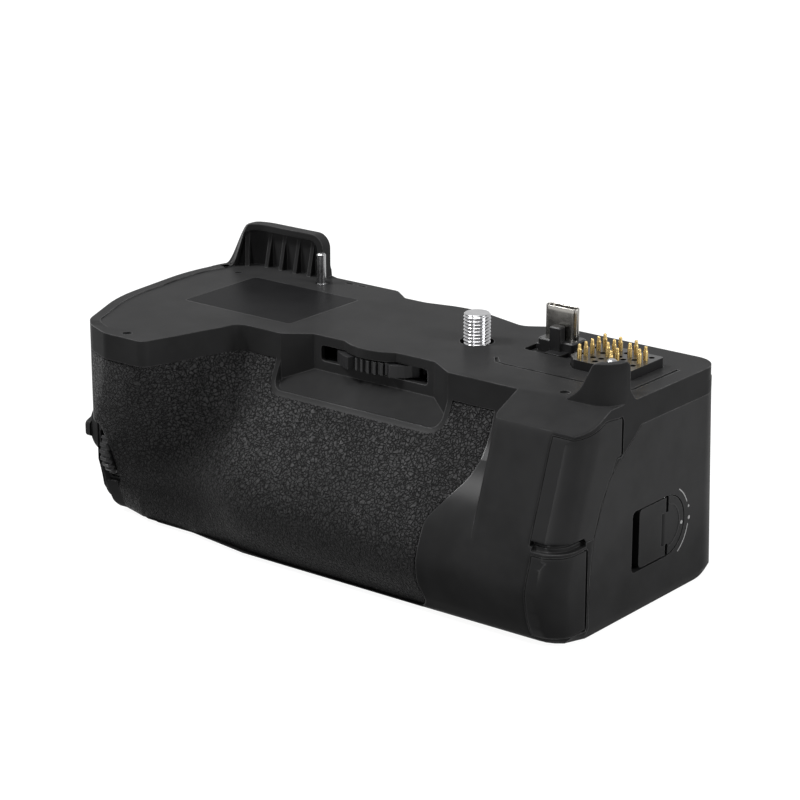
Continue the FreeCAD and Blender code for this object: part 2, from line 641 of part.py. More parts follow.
def door_parts(corner, outline, left_x, hinge_y, knuckle_z, height):
    """Door leaf with a round hinge edge, the hole that it leaves in the case, and its pin."""
    x = END_X - DOOR_KNUCKLE_R
    low, high = knuckle_z
    leaf = both(door_layer(corner, DOOR_T), prism(outline(0.0, True), "YZ", left_x, END_X + 1.0))
    leaf = leaf.cut(box(x - 6.0, END_X + 2.0, hinge_y, hinge_y + 9.0, 0.0, TOP_Z + 4.0))
    edge = box(x - 4.0, END_X + 2.0, hinge_y - 0.5, hinge_y + 2.0, 0.0, TOP_Z + 4.0)
    barrel = rod(DOOR_KNUCKLE_R, (x, hinge_y - DOOR_KNUCKLE_R, low), (0, 0, 1), high - low)
    hole = rod(DOOR_PIN_R + RUNNING, (x, hinge_y - DOOR_KNUCKLE_R, 0.0), (0, 0, 1), TOP_Z)
    leaf = largest(cut(fuse(leaf.cut(edge), barrel), hole))
    room = both(door_layer(corner, DOOR_T + 0.35), prism(outline(SEAM), "YZ", left_x - SEAM, END_X + 1.0))
    base, top = height[0] - 0.5, height[1] + 0.3
    socket = rod(DOOR_KNUCKLE_R + DOOR_RUN, (x, hinge_y - DOOR_KNUCKLE_R, base), (0, 0, 1), top - base)
    pin = rod(DOOR_PIN_R, (x, hinge_y - DOOR_KNUCKLE_R, low - 1.6), (0, 0, 1), high - low + 3.2)
    return leaf, fuse(room, socket), pin


def tilted_box(x0, x1, centre, across, along, angle):
    """Box along X whose section is turned about its centre."""
    y, z = centre
    shape = box(x0, x1, y - across / 2, y + across / 2, z - along / 2, z + along / 2)
    shape.rotate(V(0, y, z), V(1, 0, 0), angle)
    return shape


def lan_jack(spare=0.0):
    x0, x1, y, z = LAN_JACK
    across, along = LAN_JACK_SIZE
    return tilted_box(x0 - spare, x1 + spare, (y, z), across + 2 * spare, along + 2 * spare, LAN_JACK_TILT)


def lan_mouth(x0, x1):
    _, _, y, z = LAN_JACK
    return tilted_box(x0, x1, (y, z), LAN_JACK_MOUTH[0], LAN_JACK_MOUTH[1], LAN_JACK_TILT)


def usb_socket_box(spare=0.0):
    y, z = USB_SOCKET_AT
    return box(33.5 - spare, 42.6 + spare, y - 4.6 - spare, y + 4.6 + spare, z - 2.6 - spare, z + 2.6 + spare)


def make_top_case(form, corner, lan_room, mobile_room):
    """Seat, wheel bay, thumb rest, corner guard and port corner, moulded in one."""
    ledge = both(prism(BODY_PLAN, "XY", PART_Z, LEDGE_Z), box(-86.0, END_X, 9.0, 30.0, PART_Z, TOP_Z))
    plate = fuse(prism(PLATE_PLAN, "XY", PART_Z, TOP_Z), ledge).cut(top_inside())
    bay = prism(bay_outline(), "XZ", -32.0, BAY_BACK_Y + BAY_FRAME)
    tongue = fuse(both(bay, form), both(bay, box(-60.0, 30.0, FRONT_Y, 0.0, PART_Z, TOP_Z)))
    solid = fuse(plate, tongue, cut(corner, *corner_hollows()))
    solid = solid.cut(bay_recess())
    solid = solid.fuse(rod(VISOR_R, (*WHEEL_AT, BAY_WINDOW[3]), (0, 0, 1), TOP_Z - BAY_WINDOW[3]))
    solid = cut(solid, *wheel_window())
    solid = cut(fuse(solid, rim(), thumb_tab(), horn()), *top_holes(), *plate_marks())
    skin_room = prism(SKIN_PLAN, "XZ", -60.0, SKIRT_BACK_Y + 4.0).cut(inner_form(COVER_T))
    skin_room = both(skin_room, box(SKIRT_X - 1.0, 30.0, -60.0, 0.0, COVER_T, PART_Z))
    solid = cut(solid, skin_room, lan_room, mobile_room, finger_gap(corner))
    x = LAN_JACK[1]
    solid = cut(solid, lan_jack(), lan_mouth(x - 1.0, END_X - 1.0), usb_socket_box(),
                usb_mouth(USB_SOCKET_SIZE, 42.0, END_X + 2.0))
    return largest(solid)


def finger_gap(corner):
    """Nail gap between the two doors."""
    return both(door_layer(corner, 1.3), box(43.0, END_X + 1.0, -60.0, LAN_SCOOP[0], MOBILE_Z[1] + 0.9, LAN_SCOOP[1]))


def usb_mouth(size, x0, x1):
    y, z = USB_SOCKET_AT
    w, h = size
    r = h / 2 - 0.02
    return prism([(y - w / 2, z - h / 2, r), (y + w / 2, z - h / 2, r), (y + w / 2, z + h / 2, r),
                  (y - w / 2, z + h / 2, r)], "YZ", x0, x1)


def make_main_case(form, core):
    """Inner shell: base, battery chamber and the open room for the board and the gears above it."""
    lip = both(form, box(-100.0, END_X, -60.0, 30.0, 0.0, COVER_T))
    solid = fuse(core, lip)
    ahead = fuse(box(SKIRT_X, 60.0, -60.0, SKIRT_BACK_Y, 0.0, TUB_FLOOR_Z),
                 box(SKIRT_X, 60.0, -60.0, SHELF_Y, TUB_FLOOR_Z, PART_Z + 1.0))
    solid = solid.cut(ahead)
    solid = both(solid, box(-100.0, CAP_BACK_X, -60.0, 30.0, 0.0, PART_Z))
    room = inner_form(COVER_T + WALL)
    room = cut(room, box(CHAMBER_X0 - WALL, 60.0, SKIRT_BACK_Y, 30.0, 0.0, TUB_FLOOR_Z),
               box(SKIRT_X - WALL, 60.0, -60.0, SHELF_Y + WALL, 0.0, PART_Z + 1.0),
               box(CAP_BACK_X - WALL, 60.0, -60.0, 30.0, 0.0, PART_Z + 1.0),
               box(BAY_X[0] - 3.2, BAY_X[1] + 3.2, -60.0, BAY_BACK_Y + 3.2, BAY_LOW_Z - 1.6, PART_Z + 1.0))
    solid = solid.cut(room)
    solid = solid.cut(prism(chamber_outline(TRAY_RUN), "YZ", CHAMBER_X0, CAP_BACK_X + 1.0))
    solid = solid.cut(box(BAY_X[0] - BAY_FRAME, BAY_X[1] + BAY_FRAME, -60.0, BAY_BACK_Y + BAY_FRAME, BAY_LOW_Z,
                          PART_Z + 1.0))
    for x, y in BOARD_POSTS:
        solid = solid.fuse(box(x - 2.0, x + 2.0, y - 2.0, y + 2.0, TUB_FLOOR_Z - 0.1, BOARD_Z[0]))
    solid = cut(solid, rod(BUSH_R, (0, 0, -1.0), (0, 0, 1), BUSH_H + 1.0), *case_rooms(), *axle_seats(),
                rod(WHEEL_GEAR_R + 1.4, (*WHEEL_AT, GEAR_Z[0] - 0.5), (0, 0, 1), 8.0))
    return largest(solid)


def dial_rooms():
    """Slots for the two dials, the shutter button, the stick and the rear buttons."""
    rooms = []
    for (x0, x1), (y, z), r in ((FRONT_DIAL_X, FRONT_DIAL_AT, FRONT_DIAL_R), (REAR_DIAL_X, REAR_DIAL_AT, REAR_DIAL_R)):
        rooms.append(rod(r + 0.4, (x0 - 0.4, y, z), (1, 0, 0), x1 - x0 + 0.8))
    rooms.append(rod(SHUTTER_R + 0.3, (-90.0, *SHUTTER_AT), (1, 0, 0), 12.0))
    x, z = STICK_AT
    rooms.append(rod(STICK_CAP_R + 1.3, (x, 16.0, z), (0, 1, 0), 8.0))
    for x, z in BUTTONS_AT:
        rooms.append(rod(BUTTON_R + 0.2, (x, 15.0, z), (0, 1, 0), 8.0))
    return rooms


def case_rooms():
    """The same rooms in the main case, square where nothing is seen of them."""
    rooms = dial_rooms()[2:]
    for (x0, x1), (y, z), r in ((FRONT_DIAL_X, FRONT_DIAL_AT, FRONT_DIAL_R), (REAR_DIAL_X, REAR_DIAL_AT, REAR_DIAL_R)):
        reach = r + 0.4
        rooms.append(box(x0 - 0.4, x1 + 0.4, y - reach, y + reach, z - reach, z + reach))
    return rooms


def axle_cheeks(span, at, inward):
    """Two cheeks beside a dial that hold its axle and reach into the case."""
    x0, x1 = span
    y, z = at
    low, high = sorted((y - 1.2 * inward, y + 4.0 * inward))
    return [box(a, a + 1.2, low, high, z - 1.8, z + 1.8) for a in (x0 - 1.6, x1 + 0.4)]


def axle_seats():
    """Seats of the dial axles in the case."""
    return axle_cheeks(FRONT_DIAL_X, FRONT_DIAL_AT, 1) + axle_cheeks(REAR_DIAL_X, REAR_DIAL_AT, -1)


def make_front_rubber(form, core):
    bay = prism(bay_outline(), "XZ", -60.0, -10.0)
    skin = both(form, prism(SKIN_PLAN, "XZ", -60.0, -14.0)).cut(core)
    return largest(cut(skin, bay, dial_rooms()[0], *axle_seats(), box(SKIRT_X - 0.01, 40.0, SKIRT_BACK_Y + 4.1, 0.0, 0.0, 50.0)))


def make_left_cap(form, core):
    cap = both(form, box(-100.0, SKIN_LEFT_X, -60.0, 30.0, COVER_T, PART_Z))
    boss = rod(SHUTTER_BOSS_R, (SHUTTER_BOSS_X, *SHUTTER_AT), (1, 0, 0), 5.0)
    cap = fuse(cap, boss).cut(core)
    return largest(cut(cap, rod(SHUTTER_R + 0.3, (-90.0, *SHUTTER_AT), (1, 0, 0), 12.0), *axle_seats()))


def make_rear_cover(form, core):
    cover = both(form, box(SKIN_LEFT_X, CAP_BACK_X, -14.0, 30.0, COVER_T, PART_Z)).cut(core)
    return largest(cut(cover, thumb_pad(0.0), *dial_rooms()))


def thumb_pad(spare):
    x0, x1, z0, z1 = THUMB_PAD
    return prism([(x0, z0, 3.0), (x1, z0, 3.0), (x1, z1, 3.0), (x0, z1, 3.0)], "XZ", BACK_Y - 0.6, BACK_Y + 0.7)


def make_camera_screw():
    low = TOP_Z + 0.25
    thread = chamfer(rod(SCREW_R, (0, 0, low), (0, 0, 1), SCREW_TOP_Z - low), 0.6,
                     lambda e: lies(e, zmin=SCREW_TOP_Z - 0.01))
    neck = rod(SCREW_NECK_R, (0, 0, GEAR_Z[1] - 0.1), (0, 0, 1), low + 0.2 - GEAR_Z[1])
    phase = MESH_ANGLE + 180.0 + 180.0 / SCREW_GEAR_TEETH
    gear = toothed((0.0, 0.0), SCREW_GEAR_R - 0.75, SCREW_GEAR_R + 0.5, SCREW_GEAR_TEETH, *GEAR_Z, phase)
    pivot = rod(SCREW_PIVOT_R, (0, 0, TUB_FLOOR_Z + 0.4), (0, 0, 1), GEAR_Z[0] - TUB_FLOOR_Z - 0.3)
    return fuse(thread, neck, gear, pivot)


def make_screw_bearing():
    bush = fuse(box(-6.0, 6.0, -6.0, 6.0, TUB_FLOOR_Z, TUB_FLOOR_Z + 1.6),
                rod(4.0, (0, 0, TUB_FLOOR_Z), (0, 0, 1), GEAR_Z[0] - 0.05 - TUB_FLOOR_Z))
    return bush.cut(rod(SCREW_PIVOT_R + RUNNING, (0, 0, TUB_FLOOR_Z - 1.0), (0, 0, 1), 12.0))


def make_wheel():
    """Tightening wheel: rim with finger lugs and fine teeth between, hub and gear."""
    low, high = WHEEL_Z
    x, y = WHEEL_AT
    pitch = 360.0 / WHEEL_LUGS
    points = []
    for i in range(WHEEL_LUGS):
        start = 225.5 + i * pitch
        points += [polar(WHEEL_AT, WHEEL_LUG_R, start + t * WHEEL_LUG_ANGLE) for t in (0.0, 0.25, 0.5, 0.75, 1.0)]
        teeth = 5
        step = (pitch - WHEEL_LUG_ANGLE) / (teeth + 1)
        for k in range(teeth + 1):
            middle = start + WHEEL_LUG_ANGLE + (k + 0.5) * step
            points.append(polar(WHEEL_AT, WHEEL_R - 0.7, middle - 0.25 * step))
            points.append(polar(WHEEL_AT, WHEEL_R - 0.7, middle + 0.05 * step))
            if k < teeth:
                points.append(polar(WHEEL_AT, WHEEL_R, middle + 0.25 * step))
                points.append(polar(WHEEL_AT, WHEEL_R, middle + 0.55 * step))
    disc = prism(points, "XY", low, high)
    gear = toothed(WHEEL_AT, WHEEL_GEAR_R - 0.75, WHEEL_GEAR_R + 0.5, WHEEL_GEAR_TEETH, *GEAR_Z, MESH_ANGLE)
    hub = rod(5.0, (x, y, GEAR_Z[0]), (0, 0, 1), low - GEAR_Z[0] + 0.5)
    return fuse(disc, gear, hub).cut(rod(WHEEL_AXLE_R + RUNNING, (x, y, 30.0), (0, 0, 1), 20.0))


def make_wheel_axle():
    x, y = WHEEL_AT
    return fuse(rod(WHEEL_AXLE_R, (x, y, TUB_FLOOR_Z), (0, 0, 1), TOP_Z - PLATE_T - TUB_FLOOR_Z),
                rod(4.0, (x, y, TUB_FLOOR_Z), (0, 0, 1), GEAR_Z[0] - 0.1 - TUB_FLOOR_Z))


def make_locating_pin(at):
    x, y = at
    pin = chamfer(rod(PIN_R, (x, y, TOP_Z - 1.0), (0, 0, 1), PIN_TOP_Z - TOP_Z + 1.0), 0.35,
                  lambda e: lies(e, zmin=PIN_TOP_Z - 0.01))
    return fuse(pin, rod(PIN_FOOT_R, (x, y, 44.2), (0, 0, 1), TOP_Z - 44.2),
                box(x - 2.2, x + 2.2, y - 2.2, y + 2.2, 44.2, TOP_Z - PLATE_T))


def make_usb_carrier():
    """Stepped block in the well that holds the plug."""
    x0, x1, y0, y1 = USB_WELL
    x, y = USB_AT
    flange = box(x0 - 1.6, x1 + 0.5, y0 - 1.6, y1 + 1.4, 43.4, TOP_Z - PLATE_T)
    block = prism([(x0 + 0.2, y0 + 0.2, 0.8), (x1 - 0.2, y0 + 0.2, 0.8), (x1 - 0.2, y1 - 0.2, 0.8),
                   (x0 + 0.2, y1 - 0.2, 0.8)], "XY", 43.4, TOP_Z - 0.9)
    collar = box(x - 5.4, x + 5.4, y - 2.2, y + 2.2, 46.0, TOP_Z + 0.4)
    step = box(16.7, 20.9, 2.0, 6.0, 46.0, TOP_Z + 0.1)
    return fuse(flange, block, collar, step).cut(usb_shell_outline(0.0, 44.0, 60.0))


def usb_shell_outline(depth, low, high):
    x, y = USB_AT
    w, h = USB_SHELL[0] / 2 - depth, USB_SHELL[1] / 2 - depth
    r = h - 0.02
    return prism([(x - w, y - h, r), (x + w, y - h, r), (x + w, y + h, r), (x - w, y + h, r)], "XY", low, high)


def make_usb_shell():
    shell = usb_shell_outline(0.0, 44.0, USB_TOP_Z).cut(usb_shell_outline(USB_SHELL_T, 46.0, USB_TOP_Z + 1.0))
    tongue = box(USB_AT[0] - 3.0, USB_AT[0] + 3.0, USB_AT[1] - 0.3, USB_AT[1] + 0.3, 45.5, USB_TOP_Z - 0.7)
    return fuse(shell, tongue)


def facets(centre, radius, sides, low, high):
    """Upright prism with a regular outline."""
    return prism([polar(centre, radius, 360.0 * (i + 0.5) / sides) for i in range(sides)], "XY", low, high)


def contact_places():
    for i, row in enumerate(CONTACT_LAYOUT):
        for k, mark in enumerate(row):
            if mark == "1":
                yield CONTACT_FIRST[0] + i * CONTACT_PITCH[0], CONTACT_FIRST[1] + k * CONTACT_PITCH[1]


def make_contact_block():
    x0, x1, y0, y1 = CONTACT_BOX
    block = prism(contact_outline(0.15), "XY", 43.0, CONTACT_TOP_Z)
    block = fuse(block, box(x0 - 1.4, x1 + 1.4, y0 - 1.4, y1 + 1.4, 43.0, TOP_Z - PLATE_T))
    room = box(x0 + 0.6, x1 - 0.6, y0 + 3.2, y1 - 0.8, 42.0, 44.6)
    return cut(block, room, *[facets(at, CONTACT_PIN_R, 8, 42.0, 54.0) for at in contact_places()])


def make_contact_pins():
    """Contact board under the block with its sprung pins."""
    x0, x1, y0, y1 = CONTACT_BOX
    board = box(x0 - 1.2, x1 + 1.2, y0 - 1.2, y1 + 1.2, 42.0, 43.0)
    return fuse(board, *[facets(at, CONTACT_PIN_R, 8, 42.9, CONTACT_PIN_TOP_Z) for at in contact_places()])


def make_tripod_bush():
    return rod(BUSH_R, (0, 0, 0.0), (0, 0, 1), BUSH_H).cut(rod(SCREW_R, (0, 0, -1.0), (0, 0, 1), BUSH_H + 0.4))


def make_main_board():
    """Circuit board over the chamber, with holes round the two axles and its larger parts."""
    low, high = BOARD_Z
    board = box(-55.0, 18.0, -14.2, 13.4, low, high)
    x, y = WHEEL_AT
    board = cut(board, box(-6.2, 6.2, -6.2, 6.2, low - 1.0, high + 1.0),
                box(x - 5.0, x + 5.0, y - 5.0, y + 5.0, low - 1.0, high + 1.0))
    chips = [box(-52.0, -40.0, -6.0, 6.0, high, high + 1.4), box(-36.0, -29.0, 2.0, 9.0, high, high + 1.1),
             box(8.0, 15.0, -6.0, 8.0, high, high + 2.6), box(-30.0, -12.0, 8.6, 12.6, high, high + 2.2)]
    return fuse(board, *chips)


def make_battery_contacts():
    plate = box(CHAMBER_X0, CHAMBER_X0 + 0.6, -14.0, 10.0, 11.0, 22.0)
    blades = [box(CHAMBER_X0 + 0.5, BATTERY_X0 - 0.2, y, y + 0.7, 13.0, 20.0) for y in (-11.0, -4.0, 3.0)]
    return fuse(plate, *blades)


def make_tray():
    """Open frame that carries two batteries end to end."""
    body = prism(chamber_outline(0.0), "YZ", TRAY_X0, CAP_BACK_X)
    x_mid = BATTERY_X1 - BATTERY[0] - BATTERY_GAP / 2
    y0, y1 = TRAY_Y0 + TRAY_WALL, TRAY_Y1 - TRAY_WALL
    floor = TRAY_Z0 + TRAY_FLOOR
    rooms = [box(TRAY_X0 + TRAY_WALL, x_mid - TRAY_WALL, y0, y1, floor, 40.0),
             box(x_mid, BATTERY_X1 + 0.2, y0, y1, floor, 40.0),
             box(BATTERY_X1 + 0.2, CAP_BACK_X - TRAY_END, y0, y1, floor, 40.0),
             box(TRAY_X0 - 1.0, TRAY_X0 + TRAY_WALL + 0.1, y0, y1, floor + 2.4, 40.0)]
    rooms.append(box(TRAY_X0 + 14.0, TRAY_X0 + 40.0, TRAY_Y0 - 1.0, TRAY_Y1 + 1.0, TRAY_Z1 - 7.0, 40.0))
    rooms.append(box(x_mid + 12.0, x_mid + 40.0, TRAY_Y0 - 1.0, TRAY_Y1 + 1.0, TRAY_Z1 - 7.0, 40.0))
    rooms.append(rod(LATCH_SHAFT_R, (30.0, *LATCH_AT), (1, 0, 0), 30.0))
    return cut(body, *rooms)


def make_battery(x0):
    y = 0.5 * (TRAY_Y0 + TRAY_Y1) - BATTERY[1] / 2
    z = TRAY_Z0 + TRAY_FLOOR
    block = prism([(y, z, 1.5), (y + BATTERY[1], z, 2.6), (y + BATTERY[1], z + BATTERY[2], 1.5),
                   (y, z + BATTERY[2], 1.5)], "YZ", x0, x0 + BATTERY[0])
    slots = [box(x0 - 1.0, x0 + 1.2, y + 8.0 + 7.0 * i, y + 9.6 + 7.0 * i, z + 5.0, z + 14.0) for i in range(3)]
    return cut(block, *slots)


def make_tray_cap(form):
    """End cap with the recess for the latch."""
    cap = both(form, prism(CAP_PLAN, "YZ", CAP_BACK_X, END_X), box(CAP_BACK_X, END_X, -40.0, 30.0, 0.0, PART_Z))
    y, z = LATCH_AT
    half = LATCH_R + LATCH_RUN
    floor = END_X - LATCH_POCKET
    pocket = fuse(prism([(FLAP_FRONT_Y - FINGER_GAP, z - half - 0.1, 1.2), (y, z - half - 0.1), (y, z + half + 0.1),
                         (FLAP_FRONT_Y - FINGER_GAP, z + half + 0.1, 1.2)], "YZ", floor, END_X + 1.0),
                  rod(half, (floor, y, z), (1, 0, 0), LATCH_POCKET + 1.0))
    return cut(cap, pocket, rod(LATCH_SHAFT_R, (CAP_BACK_X - 1.0, y, z), (1, 0, 0), 8.0))


def make_rotor():
    """Half round head of the latch with the middle knuckle of its flap, and its shaft."""
    y, z = LATCH_AT
    floor = END_X - LATCH_POCKET + 0.1
    head = rod(LATCH_R, (floor, y, z), (1, 0, 0), END_X - 0.1 - floor)
    head = both(head, box(40.0, END_X, FLAP_AXIS_Y + FLAP_T / 2 + 0.2, 30.0, 0.0, 40.0))
    arm = box(floor, FLAP_AXIS_X, FLAP_AXIS_Y - 0.95, FLAP_AXIS_Y + 2.0, FLAP_EARS_Z[0] + 0.1, FLAP_EARS_Z[1] - 0.1)
    bridge = box(floor, END_X - 0.1, FLAP_AXIS_Y, FLAP_AXIS_Y + 2.0, FLAP_EARS_Z[0] + 0.1, FLAP_EARS_Z[1] - 0.1)
    knuckle = rod(FLAP_T / 2, (FLAP_AXIS_X, FLAP_AXIS_Y, FLAP_EARS_Z[0] + 0.1), (0, 0, 1),
                  FLAP_EARS_Z[1] - FLAP_EARS_Z[0] - 0.2)
    shaft = rod(LATCH_SHAFT_R, (41.8, y, z), (1, 0, 0), floor - 41.7)
    solid = fuse(head, arm, bridge, knuckle, shaft)
    return solid.cut(rod(FLAP_PIN_R, (FLAP_AXIS_X, FLAP_AXIS_Y, 0.0), (0, 0, 1), 40.0))


def make_flap():
    z0, z1 = FLAP_Z
    low, high = FLAP_EARS_Z
    x = FLAP_AXIS_X - FLAP_T / 2
    outline = [(FLAP_FRONT_Y, z0, 1.0), (FLAP_AXIS_Y, z0), (FLAP_AXIS_Y, z1), (FLAP_FRONT_Y, z1, 1.0)]
    leaf = prism(outline, "YZ", x, x + FLAP_T)
    gap = box(x - 1.0, x + 4.0, FLAP_AXIS_Y - FLAP_T / 2 - 0.35, 4.0, low, high)
    ears = rod(FLAP_T / 2, (FLAP_AXIS_X, FLAP_AXIS_Y, z0), (0, 0, 1), z1 - z0)
    solid = cut(fuse(leaf, ears), gap)
    return solid.cut(rod(FLAP_PIN_R + RUNNING, (FLAP_AXIS_X, FLAP_AXIS_Y, 0.0), (0, 0, 1), 40.0))


def make_flap_pin():
    return rod(FLAP_PIN_R, (FLAP_AXIS_X, FLAP_AXIS_Y, FLAP_Z[0]), (0, 0, 1), FLAP_Z[1] - FLAP_Z[0])


def make_bolt():
    y, z = LATCH_AT
    bar = prism([(y - 3.6, z - 8.0, 1.5), (y + 3.6, z - 8.0, 1.5), (y + 3.6, z + 8.0, 1.5), (y - 3.6, z + 8.0, 1.5)],
                "YZ", 41.9, 43.8)
    return bar.cut(rod(LATCH_SHAFT_R, (40.0, y, z), (1, 0, 0), 6.0))


def make_lan_jack():
    x0, x1, y, z = LAN_JACK
    inner = lan_mouth(x0 + 1.2, x1 + 1.0)
    tongue = tilted_box(x0 + 1.0, x1 - 1.0, (y - 2.6, z + 0.9), 1.2, 9.6, LAN_JACK_TILT)
    return fuse(lan_jack().cut(inner), tongue)


def make_usb_socket():
    y, z = USB_SOCKET_AT
    body = usb_socket_box()
    tongue = box(34.0, 41.6, y - 3.3, y + 3.3, z - 0.35, z + 0.35)
    return fuse(body.cut(usb_mouth(USB_SOCKET_SIZE, 34.6, 44.0)), tongue)


def make_shutter_ring():
    x0, x1 = SHUTTER_RING_X
    y, z = SHUTTER_AT
    ring = rod(SHUTTER_RING_R, (x0, y, z), (1, 0, 0), x1 - x0)
    lever = prism([(y - 7.9, z - 1.6, 1.0), (y - 4.0, z - 3.2), (y - 4.0, z + 3.2), (y - 7.9, z + 1.6, 1.0)], "YZ", x0, x1)
    return fuse(ring, lever).cut(rod(SHUTTER_R + 0.35, (x0 - 1.0, y, z), (1, 0, 0), 6.0))


def make_shutter_button():
    y, z = SHUTTER_AT
    head = rod(SHUTTER_R, (-89.3, y, z), (1, 0, 0), 5.0)
    head = chamfer(head, 0.7, lambda e: lies(e, xmax=-89.29))
    return fuse(head, rod(1.6, (-85.0, y, z), (1, 0, 0), 3.6))


def make_shutter_switch():
    y, z = SHUTTER_AT
    return box(-80.5, -79.3, y - 1.2, y + 5.2, 5.0, z + 3.2)


def make_dial(span, at, radius, teeth):
    x0, x1 = span
    y, z = at
    points = []
    for i in range(teeth):
        a = 360.0 / teeth
        points += [polar(at, radius - 0.35, i * a - 0.32 * a), polar(at, radius, i * a - 0.14 * a),
                   polar(at, radius, i * a + 0.14 * a), polar(at, radius - 0.35, i * a + 0.32 * a)]
    dial = prism(points, "YZ", x0, x1)
    return dial.cut(rod(DIAL_AXLE_R + RUNNING, (x0 - 1.0, y, z), (1, 0, 0), x1 - x0 + 2.0))


def make_dial_axle(span, at, inward):
    """Axle of a dial and the two cheeks that hold it."""
    x0, x1 = span
    y, z = at
    axle = rod(DIAL_AXLE_R, (x0 - 1.6, y, z), (1, 0, 0), x1 - x0 + 3.2)
    return fuse(axle, *axle_cheeks(span, at, inward))


def make_stick_housing():
    x, z = STICK_AT
    y = STICK_PIVOT_Y
    body = box(x - 6.0, x + 6.0, y - 3.4, y + 2.6, z - 4.4, z + 5.4)
    body = body.cut(box(x - 4.1, x + 4.1, y - 2.6, y + 6.4, z - 3.7, z + 3.7))
    return body.cut(rod(0.65, (x - 5.4, y, z), (1, 0, 0), 10.8))


def make_stick_gimbal():
    x, z = STICK_AT
    y = STICK_PIVOT_Y
    ring = box(x - 3.0, x + 3.0, y - 0.8, y + 0.8, z - 3.0, z + 3.0).cut(
        box(x - 2.2, x + 2.2, y - 1.0, y + 1.0, z - 2.2, z + 2.2))
    stubs = rod(0.6, (x - 5.2, y, z), (1, 0, 0), 10.4).cut(box(x - 2.6, x + 2.6, y - 1.0, y + 1.0, z - 2.5, z + 2.5))
    return fuse(ring, stubs).cut(rod(0.45, (x, y, z - 4.0), (0, 0, 1), 8.0))


def make_stick():
    x, z = STICK_AT
    y = STICK_PIVOT_Y
    stem = fuse(box(x - 0.9, x + 0.9, y - 1.6, y + 6.4, z - 0.9, z + 0.9), rod(0.4, (x, y, z - 2.9), (0, 0, 1), 5.8))
    cap = chamfer(rod(STICK_CAP_R, (x, BACK_Y + 0.1, z), (0, 1, 0), 2.2), 0.6, lambda e: lies(e, ymin=BACK_Y + 2.2))
    return fuse(stem, cap)


def make_rear_button(at):
    x, z = at
    head = chamfer(rod(BUTTON_R, (x, 18.0, z), (0, 1, 0), BACK_Y + 1.2 - 18.0), 0.4,
                   lambda e: lies(e, ymin=BACK_Y + 1.1))
    return fuse(head, box(x - 1.2, x + 1.2, 16.6, 18.1, z - 1.2, z + 1.2))


def make_button_switches():
    """Switch strip behind the two rear buttons."""
    x0, x1 = BUTTONS_AT[0][0], BUTTONS_AT[1][0]
    z = BUTTONS_AT[0][1]
    strip = box(x0 - 4.0, x1 + 4.0, 13.6, 14.6, z - 3.4, z + 3.4)
    return fuse(strip, *[box(x - 1.8, x + 1.8, 14.6, 15.9, z - 1.8, z + 1.8) for x, z in BUTTONS_AT])


def parts():
    """Name and shape of every node."""
    form = body_form()
    core = inner_form(COVER_T)
    corner = port_corner(form)
    lan, lan_room, lan_pin = door_parts(corner, lan_outline, LAN_LEFT_X, LAN_HINGE_Y, LAN_KNUCKLE_Z,
                                          (LAN_HINGE_Z, LAN_Z[1]))
    mobile, mobile_room, mobile_pin = door_parts(corner, mobile_outline, MOBILE_LEFT_X, MOBILE_HINGE_Y,
                                                 MOBILE_KNUCKLE_Z, MOBILE_Z)
    x0, x1, y0, y1 = LABEL_BOX
    yield "top_case", make_top_case(form, corner, fuse(lan_room, lan_pin), fuse(mobile_room, mobile_pin))
    yield "main_case", make_main_case(form, core)
    yield "front_grip_rubber", make_front_rubber(form, core)
    yield "left_end_cap", make_left_cap(form, core)
    yield "rear_cover", make_rear_cover(form, core)
    yield "rear_thumb_rubber", thumb_pad(0.0)
    yield "label_plate", prism([(x0, y0, 0.8), (x1, y0, 0.8), (x1, y1, 0.8), (x0, y1, 0.8)], "XY", TOP_Z - LABEL_T, TOP_Z)
    yield "camera_screw", make_camera_screw()
    yield "screw_bearing", make_screw_bearing()
    yield "tightening_wheel", make_wheel()
    yield "wheel_axle", make_wheel_axle()
    yield "locating_pin_left", make_locating_pin(PIN_LEFT)
    yield "locating_pin_right", make_locating_pin(PIN_RIGHT)
    yield "usb_plug_carrier", make_usb_carrier()
    yield "usb_plug_shell", make_usb_shell()
    yield "contact_block", make_contact_block()
    yield "contact_pins", make_contact_pins()
    yield "tripod_bush", make_tripod_bush()
    yield "main_board", make_main_board()
    yield "battery_contacts", make_battery_contacts()
    yield "battery_tray", make_tray()
    yield "battery_inner", make_battery(BATTERY_X0)
    yield "battery_outer", make_battery(BATTERY_X1 - BATTERY[0])
    yield "tray_cap", make_tray_cap(form)
    yield "latch_rotor", make_rotor()
    yield "latch_flap", make_flap()
    yield "flap_pin", make_flap_pin()
    yield "latch_bolt", make_bolt()
    yield "lan_door", lan
    yield "lan_door_pin", lan_pin
    yield "mobile_door", mobile
    yield "mobile_door_pin", mobile_pin
    yield "lan_jack", make_lan_jack()
    yield "usb_socket", make_usb_socket()
    yield "shutter_ring", make_shutter_ring()
    yield "shutter_button", make_shutter_button()
    yield "shutter_switch", make_shutter_switch()
    yield "front_dial", make_dial(FRONT_DIAL_X, FRONT_DIAL_AT, FRONT_DIAL_R, DIAL_TEETH)
    yield "front_dial_axle", make_dial_axle(FRONT_DIAL_X, FRONT_DIAL_AT, 1)
    yield "rear_dial", make_dial(REAR_DIAL_X, REAR_DIAL_AT, REAR_DIAL_R, DIAL_TEETH)
    yield "rear_dial_axle", make_dial_axle(REAR_DIAL_X, REAR_DIAL_AT, -1)
    yield "stick_housing", make_stick_housing()
    yield "stick_gimbal", make_stick_gimbal()
    yield "focus_stick", make_stick()
    yield "rear_button_left", make_rear_button(BUTTONS_AT[0])
    yield "rear_button_right", make_rear_button(BUTTONS_AT[1])
    yield "button_switches", make_button_switches()


